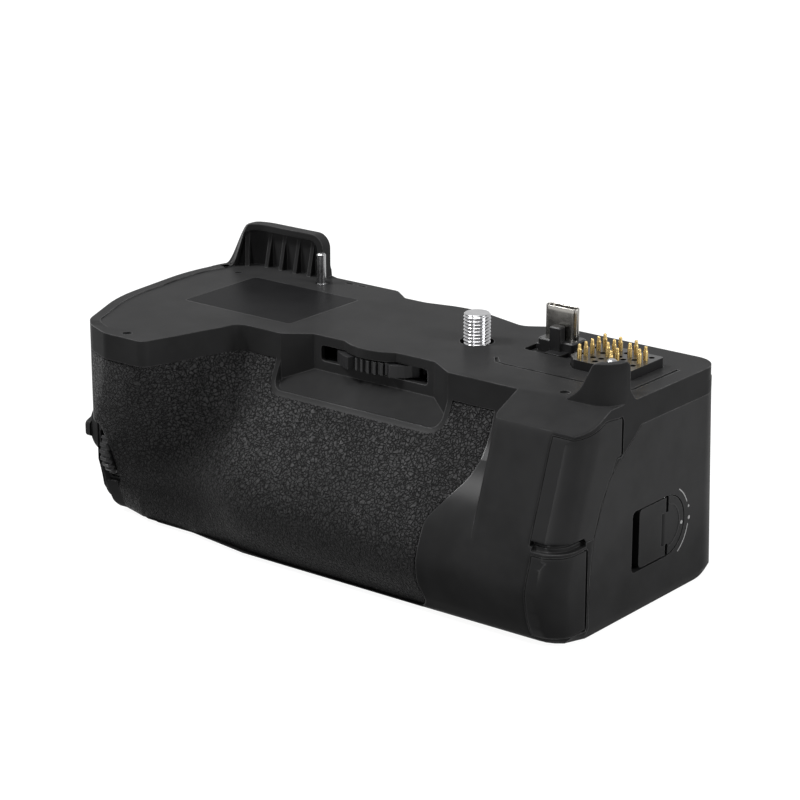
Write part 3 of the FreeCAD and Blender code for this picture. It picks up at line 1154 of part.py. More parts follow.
if __name__ == "__main__":
    os.makedirs("parts", exist_ok=True)
    for name, shape in parts():
        shape.exportStep(f"parts/{name}.step")
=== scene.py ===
"""Scene of a vertical battery and network grip for a mirrorless camera.

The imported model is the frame.  This file gives every node its finish, adds the fine pieces that the
solids leave plain, and sets the camera, the light and the floor.  Sizes are in millimetres and become
metres where a mesh is made.
"""

import json
import logging
import math
from dataclasses import dataclass, field
from enum import Enum
from typing import Callable, Optional, Union

import bmesh
import bpy
import numpy as np
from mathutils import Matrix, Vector

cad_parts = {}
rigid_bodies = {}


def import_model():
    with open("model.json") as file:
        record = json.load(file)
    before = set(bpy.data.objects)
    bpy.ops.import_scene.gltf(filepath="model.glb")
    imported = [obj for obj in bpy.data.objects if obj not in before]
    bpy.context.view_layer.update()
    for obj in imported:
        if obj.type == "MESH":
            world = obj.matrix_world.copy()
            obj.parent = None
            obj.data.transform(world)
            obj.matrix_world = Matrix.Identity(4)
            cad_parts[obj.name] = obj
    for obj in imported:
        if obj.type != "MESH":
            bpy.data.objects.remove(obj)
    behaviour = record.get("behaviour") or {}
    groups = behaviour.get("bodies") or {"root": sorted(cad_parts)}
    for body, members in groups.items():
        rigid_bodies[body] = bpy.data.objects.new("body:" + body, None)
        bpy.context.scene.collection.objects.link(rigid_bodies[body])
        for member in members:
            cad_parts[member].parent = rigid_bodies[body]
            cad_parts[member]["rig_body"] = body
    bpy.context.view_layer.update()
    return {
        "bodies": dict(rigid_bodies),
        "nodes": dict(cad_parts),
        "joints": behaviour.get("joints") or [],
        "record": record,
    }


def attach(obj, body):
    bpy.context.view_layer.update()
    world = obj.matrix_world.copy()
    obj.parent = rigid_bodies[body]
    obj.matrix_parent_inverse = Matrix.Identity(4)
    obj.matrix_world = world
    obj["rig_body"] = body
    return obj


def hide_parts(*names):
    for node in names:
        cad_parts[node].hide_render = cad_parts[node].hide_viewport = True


log = logging.getLogger("grip")

MM = 0.001
TAU = 2.0 * math.pi
Colour = tuple[float, float, float]
Grid = np.ndarray

# Heights and ends of the solids that several forms meet: the parting line between plate and grip, the outer
# face of the tray cap, and the rounding of the foot
PARTING_Z = 42.0
END_X = 50.3
FOOT_R = 2.4


# Shader expressions


class Value:
    """A shader socket that takes part in Python expressions."""

    def __init__(self, tree: bpy.types.NodeTree, socket: bpy.types.NodeSocket) -> None:
        """Keep the tree and the output socket."""
        self.tree = tree
        self.socket = socket

    def math(self, operation: str, *others: Union["Value", float], first: bool = True) -> "Value":
        """Add a Math node.

        Args:
            operation: the node's operation.
            others: further operands, sockets or numbers.
            first: whether this value is the first operand.

        Returns:
            The node's output.
        """
        node = self.tree.nodes.new("ShaderNodeMath")
        node.operation = operation
        operands = (self, *others) if first else (*others, self)
        for place, operand in zip(node.inputs, operands):
            if isinstance(operand, Value):
                self.tree.links.new(operand.socket, place)
            else:
                place.default_value = operand
        return Value(self.tree, node.outputs[0])

    def __add__(self, other: Union["Value", float]) -> "Value":
        """Sum."""
        return self.math("ADD", other)

    __radd__ = __add__

    def __sub__(self, other: Union["Value", float]) -> "Value":
        """Difference."""
        return self.math("SUBTRACT", other)

    def __rsub__(self, other: float) -> "Value":
        """Difference from a number."""
        return self.math("SUBTRACT", other, first=False)

    def __mul__(self, other: Union["Value", float]) -> "Value":
        """Product."""
        return self.math("MULTIPLY", other)

    __rmul__ = __mul__

    def band(self, low: float, high: float) -> "Value":
        """Ramp from 0 at low to 1 at high, smooth and clamped.

        Args:
            low: input where the ramp starts.
            high: input where it ends.

        Returns:
            The ramp's output.
        """
        return add_node(self.tree, "MapRange", {"interpolation_type": "SMOOTHSTEP"},
                        {"Value": self, "From Min": low, "From Max": high}, output="Result")


def add_node(tree: bpy.types.NodeTree, kind: str, settings: Optional[dict] = None,
             inputs: Optional[dict] = None, output: Union[str, int] = 0) -> Value:
    """Add a shader node.

    Args:
        tree: tree that gets the node.
        kind: type of the node without its prefix.
        settings: properties, set first.
        inputs: numbers, colours or values by socket name or index.
        output: name or index of the output that is wanted.

    Returns:
        That output.
    """
    node = tree.nodes.new("ShaderNode" + kind)
    for key, item in (settings or {}).items():
        setattr(node, key, item)
    for key, item in (inputs or {}).items():
        if isinstance(item, Value):
            tree.links.new(item.socket, node.inputs[key])
        else:
            node.inputs[key].default_value = item
    return Value(tree, node.outputs[output])


class Shader:
    """A material under construction."""

    def __init__(self, name: str) -> None:
        """Start a material with one Principled shader."""
        self.material = bpy.data.materials.new(name)
        self.material.use_nodes = True
        self.tree = self.material.node_tree
        self.tree.nodes.clear()
        self.output = self.tree.nodes.new("ShaderNodeOutputMaterial")
        self.surface = self.tree.nodes.new("ShaderNodeBsdfPrincipled")
        self.tree.links.new(self.surface.outputs[0], self.output.inputs["Surface"])

    def node(self, kind: str, settings: Optional[dict] = None, inputs: Optional[dict] = None,
             output: Union[str, int] = 0) -> Value:
        """Add a node to the material; the arguments are those of add_node."""
        return add_node(self.tree, kind, settings, inputs, output)

    def place(self, stretch: tuple[float, float, float] = (1.0, 1.0, 1.0)) -> Value:
        """Object coordinates in metres, stretched along the axes."""
        where = self.node("TexCoord", output="Object")
        return self.node("Mapping", inputs={"Vector": where, "Scale": stretch})

    def along(self, axis: str) -> Value:
        """One Object coordinate, X, Y or Z, in metres."""
        return self.node("SeparateXYZ", inputs={"Vector": self.place()}, output=axis)

    def noise(self, size: float, detail: float = 2.0, rough: float = 0.5,
              stretch: tuple[float, float, float] = (1.0, 1.0, 1.0)) -> Value:
        """Noise whose features are size millimetres wide, from 0 to 1."""
        return self.node("TexNoise", inputs={"Vector": self.place(stretch), "Scale": 1.0 / (size * MM),
                                             "Detail": detail, "Roughness": rough}, output="Fac")

    def cells(self, size: float, where: Value) -> Value:
        """Distance to the nearest edge in a pattern of cells that are size millimetres wide."""
        return self.node("TexVoronoi", {"feature": "DISTANCE_TO_EDGE"},
                         {"Vector": where, "Scale": 1.0 / (size * MM)}, output="Distance")

    def blend(self, share: Value, low: Union[Value, Colour], high: Colour) -> Value:
        """Colour between two colours.

        Args:
            share: 0 for the low colour, 1 for the high one.
            low: a colour, or one that varies.
            high: a colour.

        Returns:
            The mixed colour.
        """
        first = low if isinstance(low, Value) else (*low, 1.0)
        return self.node("Mix", {"data_type": "RGBA"}, {"Factor": share, 6: first, 7: (*high, 1.0)}, output=2)

    def relief(self, height: Value, depth: float, normal: Optional[Value] = None) -> Value:
        """Bump of a height.

        Args:
            height: height from 0 to 1.
            depth: what 1 stands for, in millimetres.
            normal: normal that the bump starts from, or the plain one.

        Returns:
            The bumped normal.
        """
        inputs = {"Height": height, "Distance": depth * MM}
        if normal is not None:
            inputs["Normal"] = normal
        return self.node("Bump", inputs=inputs, output="Normal")

    def soft_edges(self, radius: float) -> Value:
        """Normal rounded over the edges, radius in millimetres."""
        return self.node("Bevel", {"samples": 6}, {"Radius": radius * MM}, output="Normal")

    def edge_mask(self, rounded: Value) -> Value:
        """How far the rounded normal leans from the plain one.

        Args:
            rounded: normal rounded over the edges.

        Returns:
            1 on an edge and 0 on a flat.
        """
        plain = self.node("NewGeometry", output="Normal")
        facing = self.node("VectorMath", {"operation": "DOT_PRODUCT"}, {0: rounded, 1: plain}, output="Value")
        return (1.0 - facing).band(0.015, 0.20)

    def painted_height_shade(self, low: float, high: float, least: float) -> Value:
        """Share of a painted shade by height, darker towards the base: least below low millimetres, 1 above
        high.
        """
        return self.along("Z").band(low * MM, high * MM) * (1.0 - least) + least

    def set(self, **sockets: Union[Value, float, Colour]) -> None:
        """Put numbers, colours or values on the Principled shader's sockets.

        Args:
            sockets: what to put, by the socket's name with _ for a space.
        """
        for key, item in sockets.items():
            place = self.surface.inputs[key.replace("_", " ")]
            if isinstance(item, Value):
                self.tree.links.new(item.socket, place)
            elif isinstance(item, tuple):
                place.default_value = (*item, 1.0)
            else:
                place.default_value = item


# Finishes


@dataclass(frozen=True)
class MouldedPlastic:
    """Spark-eroded black plastic: a fine sandy grain, faint blotches and paler edges, partly edge wear and
    partly a painted highlight.

    A painted shade darkens its tone and coat towards the base: they rise with the height, from the first to
    the second height of that shade, above a least share.
    Where a corner radius is given, the housing over the ports has wider edges and a little more coat.
    Lengths are in millimetres.
    """

    name: str
    colour: Colour = (0.023, 0.023, 0.0234)
    # Colour of the edges: paler for edge wear, and where much paler a painted highlight
    edge: Colour = (0.045, 0.045, 0.046)
    shades: tuple[float, float] = (0.30, 1.14)
    roughness: float = 0.36
    grain: float = 0.22
    blotch: float = 14.0
    depth: float = 0.012
    edge_radius: float = 0.28
    shine: float = 0.01
    coat: float = 0.14
    edge_coat: float = 0.35
    coat_roughness: float = 0.26
    # Heights and least share of the painted shade that darkens the low part
    painted_height_shade: tuple[float, float, float] = (3.0, 26.0, 0.45)
    corner_radius: float = 0.0
    corner_coat: float = 0.025
    corner_x: tuple[float, float] = (16.5, 18.5)
    corner_y: tuple[float, float] = (24.5, 26.0)

    def build(self) -> bpy.types.Material:
        """Make the material."""
        s = Shader(self.name)
        rounded = s.soft_edges(self.edge_radius)
        # Painted shade: tone and coat fall towards the base
        painted_height_shade = s.painted_height_shade(*self.painted_height_shade)
        edge = s.edge_mask(rounded)
        # Paler edge colour: edge wear, and on the plate a painted highlight along its rim
        edge_wear_and_highlight = edge * s.noise(5.0, 3.0).band(0.25, 0.75)
        gloss = painted_height_shade * self.coat + edge * self.edge_coat
        if self.corner_radius:
            share = self.corner_share(s)
            gloss = gloss + share * self.corner_coat
            rounded = s.node("Mix", {"data_type": "VECTOR"},
                             {0: share, 4: rounded, 5: s.soft_edges(self.corner_radius)}, output=1)
        blotch = s.noise(self.blotch, 3.0, 0.6)
        sand = s.noise(self.grain, 1.5, 0.6)
        # Dull and bright tones: the blend follows the blotches and, for the most part, the painted shade by
        # height
        dull, bright = (tuple(c * shade for c in self.colour) for shade in self.shades)
        tone = s.blend(blotch.band(0.3, 0.7) * 0.35 + painted_height_shade * 0.65, dull, bright)
        rough = self.roughness + (blotch - 0.5) * 0.12 + (sand - 0.5) * 0.10 - edge_wear_and_highlight * 0.08
        s.set(Base_Color=s.blend(edge_wear_and_highlight, tone, self.edge), Roughness=rough, Specular_IOR_Level=self.shine,
              Coat_Roughness=self.coat_roughness, Coat_Weight=gloss,
              Normal=s.relief(sand, self.depth, rounded))
        return s.material

    def corner_share(self, s: Shader) -> Value:
        """1 over the housing at the front right corner, in front of the plate's edge, and 0 elsewhere.

        Args:
            s: the material under construction.

        Returns:
            The share.
        """
        right = s.along("X").band(*(v * MM for v in self.corner_x))
        return right * (0.0 - s.along("Y")).band(*(v * MM for v in self.corner_y))


@dataclass(frozen=True)
class PebbledRubber:
    """Grip leather: irregular pebbles cut by fine creases, with their tops painted paler, a painted sheen.

    The pattern's place is moved about by a coarse noise.  Lengths are in millimetres.
    """

    name: str
    colour: Colour = (0.008, 0.008, 0.0082)
    # Colour of the pebble tops: a painted sheen
    top: Colour = (0.078, 0.078, 0.079)
    pebble: float = 0.85
    grit: float = 0.391
    depth: float = 0.40
    roughness: float = 0.34
    drift: float = 2.0
    shift: float = 2.4
    # Heights and least share of the painted shade that darkens the pale pebble tops on the low part
    painted_height_shade: tuple[float, float, float] = (6.0, 25.0, 0.20)

    def build(self) -> bpy.types.Material:
        """Make the material."""
        s = Shader(self.name)
        where = s.place()
        drift = s.node("TexNoise", inputs={"Vector": where, "Scale": 1.0 / (self.drift * MM), "Detail": 2.0},
                       output="Color")
        centred = s.node("VectorMath", {"operation": "SUBTRACT"}, {0: drift, 1: (0.5, 0.5, 0.5)})
        shift = s.node("VectorMath", {"operation": "SCALE"}, {0: centred, "Scale": self.shift * MM})
        warped = s.node("VectorMath", {"operation": "ADD"}, {0: where, 1: shift})
        tops = s.cells(self.pebble, warped).band(0.0, 0.17)
        fine = s.cells(self.grit, warped).band(0.0, 0.22)
        crease = s.noise(0.8, 3.0, 0.6).band(0.35, 0.60)
        height = tops * (0.45 + fine * 0.20 + crease * 0.35)
        wear = s.noise(18.0, 2.0).band(0.35, 0.75)
        # The pale share of the pebble tops is darkened towards the base by the painted shade
        share = height * (0.7 + wear * 0.3) * s.painted_height_shade(*self.painted_height_shade)
        # Base colour: pebble tops painted paler, a painted sheen
        s.set(Base_Color=s.blend(share, self.colour, self.top),
              Roughness=self.roughness + (1.0 - tops) * 0.16 - wear * 0.05,
              Specular_IOR_Level=0.05, Normal=s.relief(height, self.depth))
        return s.material


@dataclass(frozen=True)
class Metal:
    """Plated or turned metal with fine lathe marks and a few dull spots."""

    name: str
    colour: Colour
    roughness: float = 0.22
    lines: float = 0.08
    depth: float = 0.004
    stretch: tuple[float, float, float] = (0.15, 0.15, 1.0)
    edge_radius: float = 0.05

    def build(self) -> bpy.types.Material:
        """Make the material."""
        s = Shader(self.name)
        marks = s.noise(self.lines, 2.0, 0.6, self.stretch)
        dull = s.noise(1.8, 3.0, 0.6)
        dark = tuple(c * 0.82 for c in self.colour)
        s.set(Base_Color=s.blend(dull.band(0.2, 0.7), dark, self.colour), Metallic=1.0,
              Roughness=self.roughness + (dull - 0.5) * 0.16 + (marks - 0.5) * 0.06,
              Normal=s.relief(marks, self.depth, s.soft_edges(self.edge_radius)))
        return s.material


@dataclass(frozen=True)
class PrintedLayer:
    """Laminate with a woven look, of circuit board, battery wrap or film."""

    name: str
    colour: Colour
    second: Colour
    pitch: float = 0.6
    roughness: float = 0.4

    def build(self) -> bpy.types.Material:
        """Make the material."""
        s = Shader(self.name)
        where = s.place()
        bands = [s.node("TexWave", {"wave_type": "BANDS", "bands_direction": axis},
                        {"Vector": where, "Scale": 0.5 / (self.pitch * MM), "Distortion": 0.4}, output="Fac")
                 for axis in ("X", "Y", "Z")]
        weave = bands[0] * 0.4 + bands[1] * 0.3 + bands[2] * 0.3
        blotch = s.noise(6.0, 3.0)
        s.set(Base_Color=s.blend(weave * 0.5 + blotch.band(0.3, 0.7) * 0.5, self.colour, self.second),
              Roughness=self.roughness + (blotch - 0.5) * 0.2, Normal=s.relief(weave, 0.01))
        return s.material


@dataclass(frozen=True)
class PrintedInk:
    """Pad-printed ink: pale, a little uneven at its edge."""

    name: str
    colour: Colour = (0.34, 0.34, 0.34)

    def build(self) -> bpy.types.Material:
        """Make the material."""
        s = Shader(self.name)
        thin = s.noise(0.35, 3.0).band(0.2, 0.6)
        low = tuple(c * 0.8 for c in self.colour)
        s.set(Base_Color=s.blend(thin, low, self.colour), Roughness=0.5 + (thin - 0.5) * 0.1)
        return s.material


class Slot(Enum):
    """Material slots of the record with their finishes."""

    CASE = ("case", MouldedPlastic("case_plastic"))
    # The plate's pale edge colour is a painted highlight along its rim
    PLATE = ("case", MouldedPlastic("plate_plastic", colour=(0.024, 0.024, 0.0244), edge=(0.11, 0.11, 0.111),
                                    shine=0.006, coat=0.05, edge_radius=0.45, corner_radius=1.7))
    COVER = ("cover", MouldedPlastic("cover_plastic", colour=(0.026, 0.026, 0.0265)))
    SHELL = ("shell", MouldedPlastic("shell_plastic", colour=(0.014, 0.014, 0.0145), roughness=0.55))
    DOOR = ("grip_rubber", MouldedPlastic("door_rubber", colour=(0.017, 0.017, 0.0174),
                                          edge=(0.020, 0.020, 0.0204), roughness=0.38, grain=0.16,
                                          depth=0.008, edge_radius=0.7, coat=0.20, edge_coat=0.04))
    DARK_STEEL = ("steel", Metal("ground_pin", (0.30, 0.30, 0.305), 0.22))
    RUBBER = ("grip_rubber", PebbledRubber("pebbled_rubber"))
    LABEL = ("label", MouldedPlastic("label_film", colour=(0.009, 0.009, 0.0095), roughness=0.40, grain=0.12,
                                     depth=0.004, edge_radius=0.05, coat=0.03))
    SCREW = ("screw", Metal("chromed_screw", (0.42, 0.42, 0.43), 0.14))
    STEEL = ("steel", Metal("turned_steel", (0.60, 0.60, 0.60), 0.26))
    WHEEL = ("wheel", MouldedPlastic("wheel_plastic", colour=(0.024, 0.024, 0.025), roughness=0.34, grain=0.3,
                                     shine=0.12, coat=0.2))
    GOLD = ("gold", Metal("gilt_contact", (0.44, 0.32, 0.13), 0.27))
    CONNECTOR = ("connector", MouldedPlastic("connector_nylon", colour=(0.010, 0.010, 0.0105), roughness=0.36,
                                             grain=0.12, depth=0.004, edge_radius=0.12, shine=0.25))
    NICKEL = ("steel", Metal("nickel_shell", (0.33, 0.32, 0.30), 0.18, stretch=(1.0, 1.0, 0.1)))
    BOARD = ("board", PrintedLayer("circuit_board", (0.004, 0.030, 0.016), (0.010, 0.055, 0.030)))
    BATTERY = ("battery", PrintedLayer("battery_wrap", (0.022, 0.022, 0.024), (0.034, 0.034, 0.036),
                                       pitch=1.2, roughness=0.5))
    # Near-black finish of the discs that stand for the shade in the contact block's bores: painted shade
    BORE = ("shell", MouldedPlastic("bore_shadow", colour=(0.0015, 0.0015, 0.0015),
                                    edge=(0.002, 0.002, 0.002), roughness=0.8, edge_radius=0.03, shine=0.0,
                                    coat=0.0))
    INK = ("case", PrintedInk("printed_ink"))

    def material(self) -> bpy.types.Material:
        """The slot's material, made once."""
        name = self.value[1].name
        return bpy.data.materials.get(name) or self.value[1].build()


# Mesh making


def grid_faces(rows: int, columns: int, closed: bool) -> Grid:
    """Quads of a grid of points, row after row.

    Args:
        rows: number of rows.
        columns: number of points in a row.
        closed: whether a row's last point joins its first.

    Returns:
        One quad per row of the array.
    """
    wide = columns if closed else columns - 1
    row, column = np.meshgrid(np.arange(rows - 1), np.arange(wide), indexing="ij")
    a = row * columns + column
    b = row * columns + (column + 1) % columns
    quads = np.stack([a, b, b + columns, a + columns], axis=-1)
    return quads.reshape(-1, 4)


@dataclass
class Shape:
    """Points and faces that grow part by part."""

    points: list = field(default_factory=list)
    faces: list = field(default_factory=list)
    count: int = 0

    def add(self, points: Grid, faces: Union[Grid, list]) -> None:
        """Append a part.

        Args:
            points: its points, in millimetres.
            faces: its faces, which count from its own first point.
        """
        self.points.append(np.asarray(points, dtype=float).reshape(-1, 3))
        self.faces += [tuple(int(i) + self.count for i in face) for face in faces]
        self.count += len(self.points[-1])

    def tube(self, rings: Grid) -> None:
        """Append closed rings of points joined by quads, with flat ends.

        Args:
            rings: array of rings by points by three, each ring counter-clockwise seen from its far end.
        """
        self.add(rings, closed_faces(*rings.shape[:2]))

    def piece(self, name: str, body: str, slot: Slot, sharp: float) -> bpy.types.Object:
        """Make the object, let it ride on a body and dress it.

        Args:
            name: name of the piece.
            body: body that carries the piece.
            slot: its finish.
            sharp: angle in degrees from which an edge stays sharp.

        Returns:
            The object.
        """
        mesh = bpy.data.meshes.new(name)
        mesh.from_pydata((np.concatenate(self.points) * MM).tolist(), [], self.faces)
        mesh.update()
        mesh.shade_smooth()
        mesh.set_sharp_from_angle(angle=math.radians(sharp))
        mesh.materials.append(slot.material())
        piece = bpy.data.objects.new(name, mesh)
        bpy.context.scene.collection.objects.link(piece)
        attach(piece, body)
        log.info("%s: %d faces", name, len(mesh.polygons))
        return piece


def closed_faces(rows: int, columns: int) -> list:
    """Faces of closed rings of points: quads between them and a face at each end.

    Args:
        rows: number of rings.
        columns: number of points in a ring.

    Returns:
        The faces.
    """
    faces = [tuple(q) for q in grid_faces(rows, columns, True)]
    return faces + [tuple(range(columns - 1, -1, -1)), tuple(range((rows - 1) * columns, rows * columns))]


AXES = {"x": (1, 2, 0), "z": (0, 1, 2)}


def turned(profile: list, segments: int, centre: tuple[float, float, float] = (0.0, 0.0, 0.0),
           axis: str = "z") -> Grid:
    """Rings of a turned shape: each point (radius, height) of the profile carried round the axis.

    Args:
        profile: pairs of radius and height.
        segments: points per ring.
        centre: where the axis passes.
        axis: x or z.

    Returns:
        Array of rings by points by three.
    """
    radius, height = np.array(profile, dtype=float).T
    angle = np.linspace(0.0, TAU, segments, endpoint=False)
    a, b, c = AXES[axis]
    rings = np.empty((len(radius), segments, 3))
    rings[..., a] = radius[:, None] * np.cos(angle)
    rings[..., b] = radius[:, None] * np.sin(angle)
    rings[..., c] = height[:, None]
    return rings + np.array(centre)


def rounded_column(at: tuple[float, float], half: tuple[float, float], radius: float,
                   steps: tuple[tuple[float, float], ...]) -> Grid:
    """Rings of an upright column whose section is a rectangle with round corners.

    Args:
        at: middle of the section.
        half: half its width and depth.
        radius: radius of its corners.
        steps: pairs of height and inset.

    Returns:
        Array of rings by points by three.
    """
    count = 32
    angle = (np.arange(count) + 0.5) * TAU / count
    c, s = np.cos(angle), np.sin(angle)
    rings = []
    for z, inward in steps:
        x = at[0] + radius * c + np.sign(c) * (half[0] - radius - inward)
        y = at[1] + radius * s + np.sign(s) * (half[1] - radius - inward)
        rings.append(np.stack([x, y, np.full(count, z)], axis=-1))
    return np.stack(rings)


def ramp(t: Grid, k: float) -> Grid:
    """Soft ramp from 0 before t = 0 to 1 after t = 1: half the difference of two hyperbolas."""
    return 0.5 * (np.hypot(t, k) - np.hypot(t - 1.0, k) + 1.0)


def base_inset(z: Grid, radius: float) -> Grid:
    """How far a wall stands back where a quarter circle rounds its foot."""
    drop = np.clip(radius - z, 0.0, radius)
    return radius - np.sqrt(radius ** 2 - drop ** 2)


def soft_max(a: Grid, b: Grid, k: float) -> Grid:
    """The larger of two arrays with a rounded change-over."""
    return 0.5 * (a + b + np.hypot(a - b, k))


def soft_start(t: Grid, k: float) -> Grid:
    """0 before t = 0 and t after it, with a rounded change-over."""
    return 0.5 * (t + np.hypot(t, k))


def beyond(across: Grid, along: Grid, radius: float) -> Grid:
    """Distance out from a rectangle with round corners, from the distances beyond its corners' centres."""
    outside = np.hypot(np.maximum(across, 0.0), np.maximum(along, 0.0))
    return outside + np.minimum(np.maximum(across, along), 0.0) - radius


# Copies of solids

Cut = tuple[tuple[float, float, float], tuple[float, float, float]]


def smooth_normals(mesh: bpy.types.Mesh, angle: float) -> None:
    """Give every corner the mean normal of the faces round its point, weighted by area.

    Args:
        mesh: the mesh, with doubles merged.
        angle: faces that lean more than this many degrees from the corner's own face are left out.
    """
    count, corners = len(mesh.polygons), len(mesh.loops)
    normal, area = np.empty(count * 3), np.empty(count)
    vertex, total = np.empty(corners, dtype=int), np.empty(count, dtype=int)
    mesh.polygons.foreach_get("normal", normal)
    mesh.polygons.foreach_get("area", area)
    mesh.polygons.foreach_get("loop_total", total)
    mesh.loops.foreach_get("vertex_index", vertex)
    normal = normal.reshape(-1, 3)
    face = np.repeat(np.arange(count), total)
    order = np.argsort(vertex, kind="stable")
    per_vertex = np.bincount(vertex)
    first = (np.cumsum(per_vertex) - per_vertex)[vertex[order]]
    size = per_vertex[vertex[order]]
    within = np.arange(size.sum()) - np.repeat(np.cumsum(size) - size, size)
    left, right = np.repeat(order, size), order[np.repeat(first, size) + within]
    close = (normal[face[left]] * normal[face[right]]).sum(axis=1) > math.cos(math.radians(angle))
    mean = np.zeros((corners, 3))
    np.add.at(mean, left, normal[face[right]] * (area[face[right]] * close)[:, None])
    mean += normal[face] * 1e-15
    mean /= np.linalg.norm(mean, axis=1)[:, None]
    mesh.normals_split_custom_set(mean.tolist())


@dataclass
class Reworked:
    """Copy of a solid with its shading carried over the facets.

    The walls inside the region are cut into strips, and a form then moves the points: a function that takes
    and returns an array of points in millimetres.  A plug is the y and z limits of a tunnel to close.
    """

    node: str
    slot: Slot
    angle: float = 28.0
    cuts: tuple[Cut, ...] = ()
    region: tuple[float, ...] = (-200.0, 200.0, -200.0, 200.0, -200.0, 200.0)
    form: Optional[Callable[[Grid], Grid]] = None
    plug: tuple[float, ...] = ()

    def close_tunnel(self, mesh: bmesh.types.BMesh) -> None:
        """Take out the walls of a tunnel along X inside the plug's y and z limits and close both its ends.

        Args:
            mesh: the copy under construction.
        """
        y0, y1, z0, z1 = (v * MM for v in self.plug)
        walls = []
        for face in mesh.faces:
            at = face.calc_center_median()
            if abs(face.normal.x) < 0.5 and y0 < at.y < y1 and z0 < at.z < z1:
                walls.append(face)
        bmesh.ops.delete(mesh, geom=walls, context="FACES")
        bmesh.ops.holes_fill(mesh, edges=[e for e in mesh.edges if e.is_boundary], sides=0)

    def touched(self, mesh: bmesh.types.BMesh) -> list:
        """Faces, edges and points that reach into the region.

        Args:
            mesh: the copy under construction.

        Returns:
            The faces, then their edges and points.
        """
        x0, x1, y0, y1, z0, z1 = (v * MM for v in self.region)
        faces = []
        for face in mesh.faces:
            xs, ys, zs = zip(*(v.co for v in face.verts))
            in_plan = max(xs) > x0 and min(xs) < x1 and max(ys) > y0 and min(ys) < y1
            if in_plan and max(zs) > z0 and min(zs) < z1:
                faces.append(face)
        return faces + list({e for f in faces for e in f.edges}) + list({v for f in faces for v in f.verts})

    def build(self, frame: dict) -> None:
        """Make the copy and let it stand for its node.
        """
        source = frame["nodes"][self.node]
        work = bmesh.new()
        work.from_mesh(source.data)
        bmesh.ops.remove_doubles(work, verts=work.verts, dist=2e-6)
        if self.plug:
            self.close_tunnel(work)
        for point, direction in self.cuts:
            bmesh.ops.bisect_plane(work, geom=self.touched(work), dist=1e-7, plane_co=Vector(point) * MM,
                                   plane_no=direction)
        bmesh.ops.triangulate(work, faces=[f for f in work.faces if len(f.verts) > 3])
        mesh = bpy.data.meshes.new(self.node + "_form")
        work.to_mesh(mesh)
        work.free()
        if self.form:
            flat = np.empty(len(mesh.vertices) * 3)
            mesh.vertices.foreach_get("co", flat)
            moved = self.form(flat.reshape(-1, 3) / MM) * MM
            mesh.vertices.foreach_set("co", moved.ravel())
            mesh.update()
        mesh.shade_smooth()
        smooth_normals(mesh, self.angle)
        mesh.materials.clear()
        mesh.materials.append(self.slot.material())
        piece = bpy.data.objects.new(self.node + "_form", mesh)
        bpy.context.scene.collection.objects.link(piece)
        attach(piece, source["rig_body"])
        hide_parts(self.node)
        log.info("%s_form: %d faces", self.node, len(mesh.polygons))


def fans(centre: tuple[float, float], start: int, end: int, step: int) -> tuple[Cut, ...]:
    """Upright cuts through an axis, one per step of angle in degrees."""
    angles = [math.radians(a) for a in range(start, end, step)]
    return tuple(((*centre, 0.0), (-math.sin(a), math.cos(a), 0.0)) for a in angles)


def levels(*heights: float) -> tuple[Cut, ...]:
    """Level cuts."""
    return tuple(((0.0, 0.0, z), (0.0, 0.0, 1.0)) for z in heights)


# Upright axis of the plate's back left corner, top of its low rim, and the step up to the thumb rest: the
# angle where it starts, the angle it takes, its foot and its rise
RIM_AXIS = (-75.9, 9.9)
RIM_Z = 48.25
STEP_FROM, STEP_TAKES = 158.0, 34.0
STEP_Z, STEP_RISE = 48.3, 10.0
STEP_MIDDLE_X = -45.0
SHOULDER_Z = 49.55
PLATE_Z = 48.02


def upper_form(p: Grid) -> Grid:
    """Low rim round the plate's left side and the flank of the thumb rest.

    The rim is let down to a quarter of a millimetre.  Round the corner's axis the height allowed rises in
    a soft step with the angle, from the rim to the top of the thumb rest.  The foot at the right end is
    drawn out to a narrow edge.

    Args:
        p: points.

    Returns:
        The moved points.
    """
    x, y, z = p.T
    axis_x, axis_y = RIM_AXIS
    turn = np.degrees(np.arctan2(y - axis_y, x - axis_x)) % 360.0
    t = np.clip((STEP_FROM - turn) / STEP_TAKES, 0.0, 1.0)
    top = np.where(y < axis_y, RIM_Z, STEP_Z + STEP_RISE * t ** 2 * (3.0 - 2.0 * t))
    left = (x < STEP_MIDDLE_X) & (z > PLATE_Z) & ((y < axis_y) | (x < axis_x) | (z < SHOULDER_Z))
    low = np.where((y >= axis_y) & (x >= axis_x) & (z < SHOULDER_Z), RIM_Z, top)
    out = p.copy()
    out[:, 2] = np.where(left, np.minimum(z, low), z)
    return front_foot(out)


def right_foot(p: Grid) -> Grid:
    """Foot of the right end: the rounding's inset is a third of the solid's.

    Args:
        p: points.

    Returns:
        The moved points.
    """
    inset = END_X - p[:, 0]
    reach = FOOT_R + 0.01
    out = p.copy()
    out[:, 0] = np.where((inset < reach) & (p[:, 2] < reach), END_X - inset / 3.0, p[:, 0])
    return out


# Rounding of the front right corner, and the height up to which it is rounded
CORNER_R = 6.0
CORNER_HIGH = 6.0
# Front of the solid beside that corner: y at heights above the base
CORNER_FRONT = ((0.0, -34.8), (0.22, -35.4), (0.6, -36.4), (1.0, -37.3), (1.7, -38.1), (2.4, -38.6),
                (4.2, -39.6), (5.6, -40.2), (8.4, -41.0))


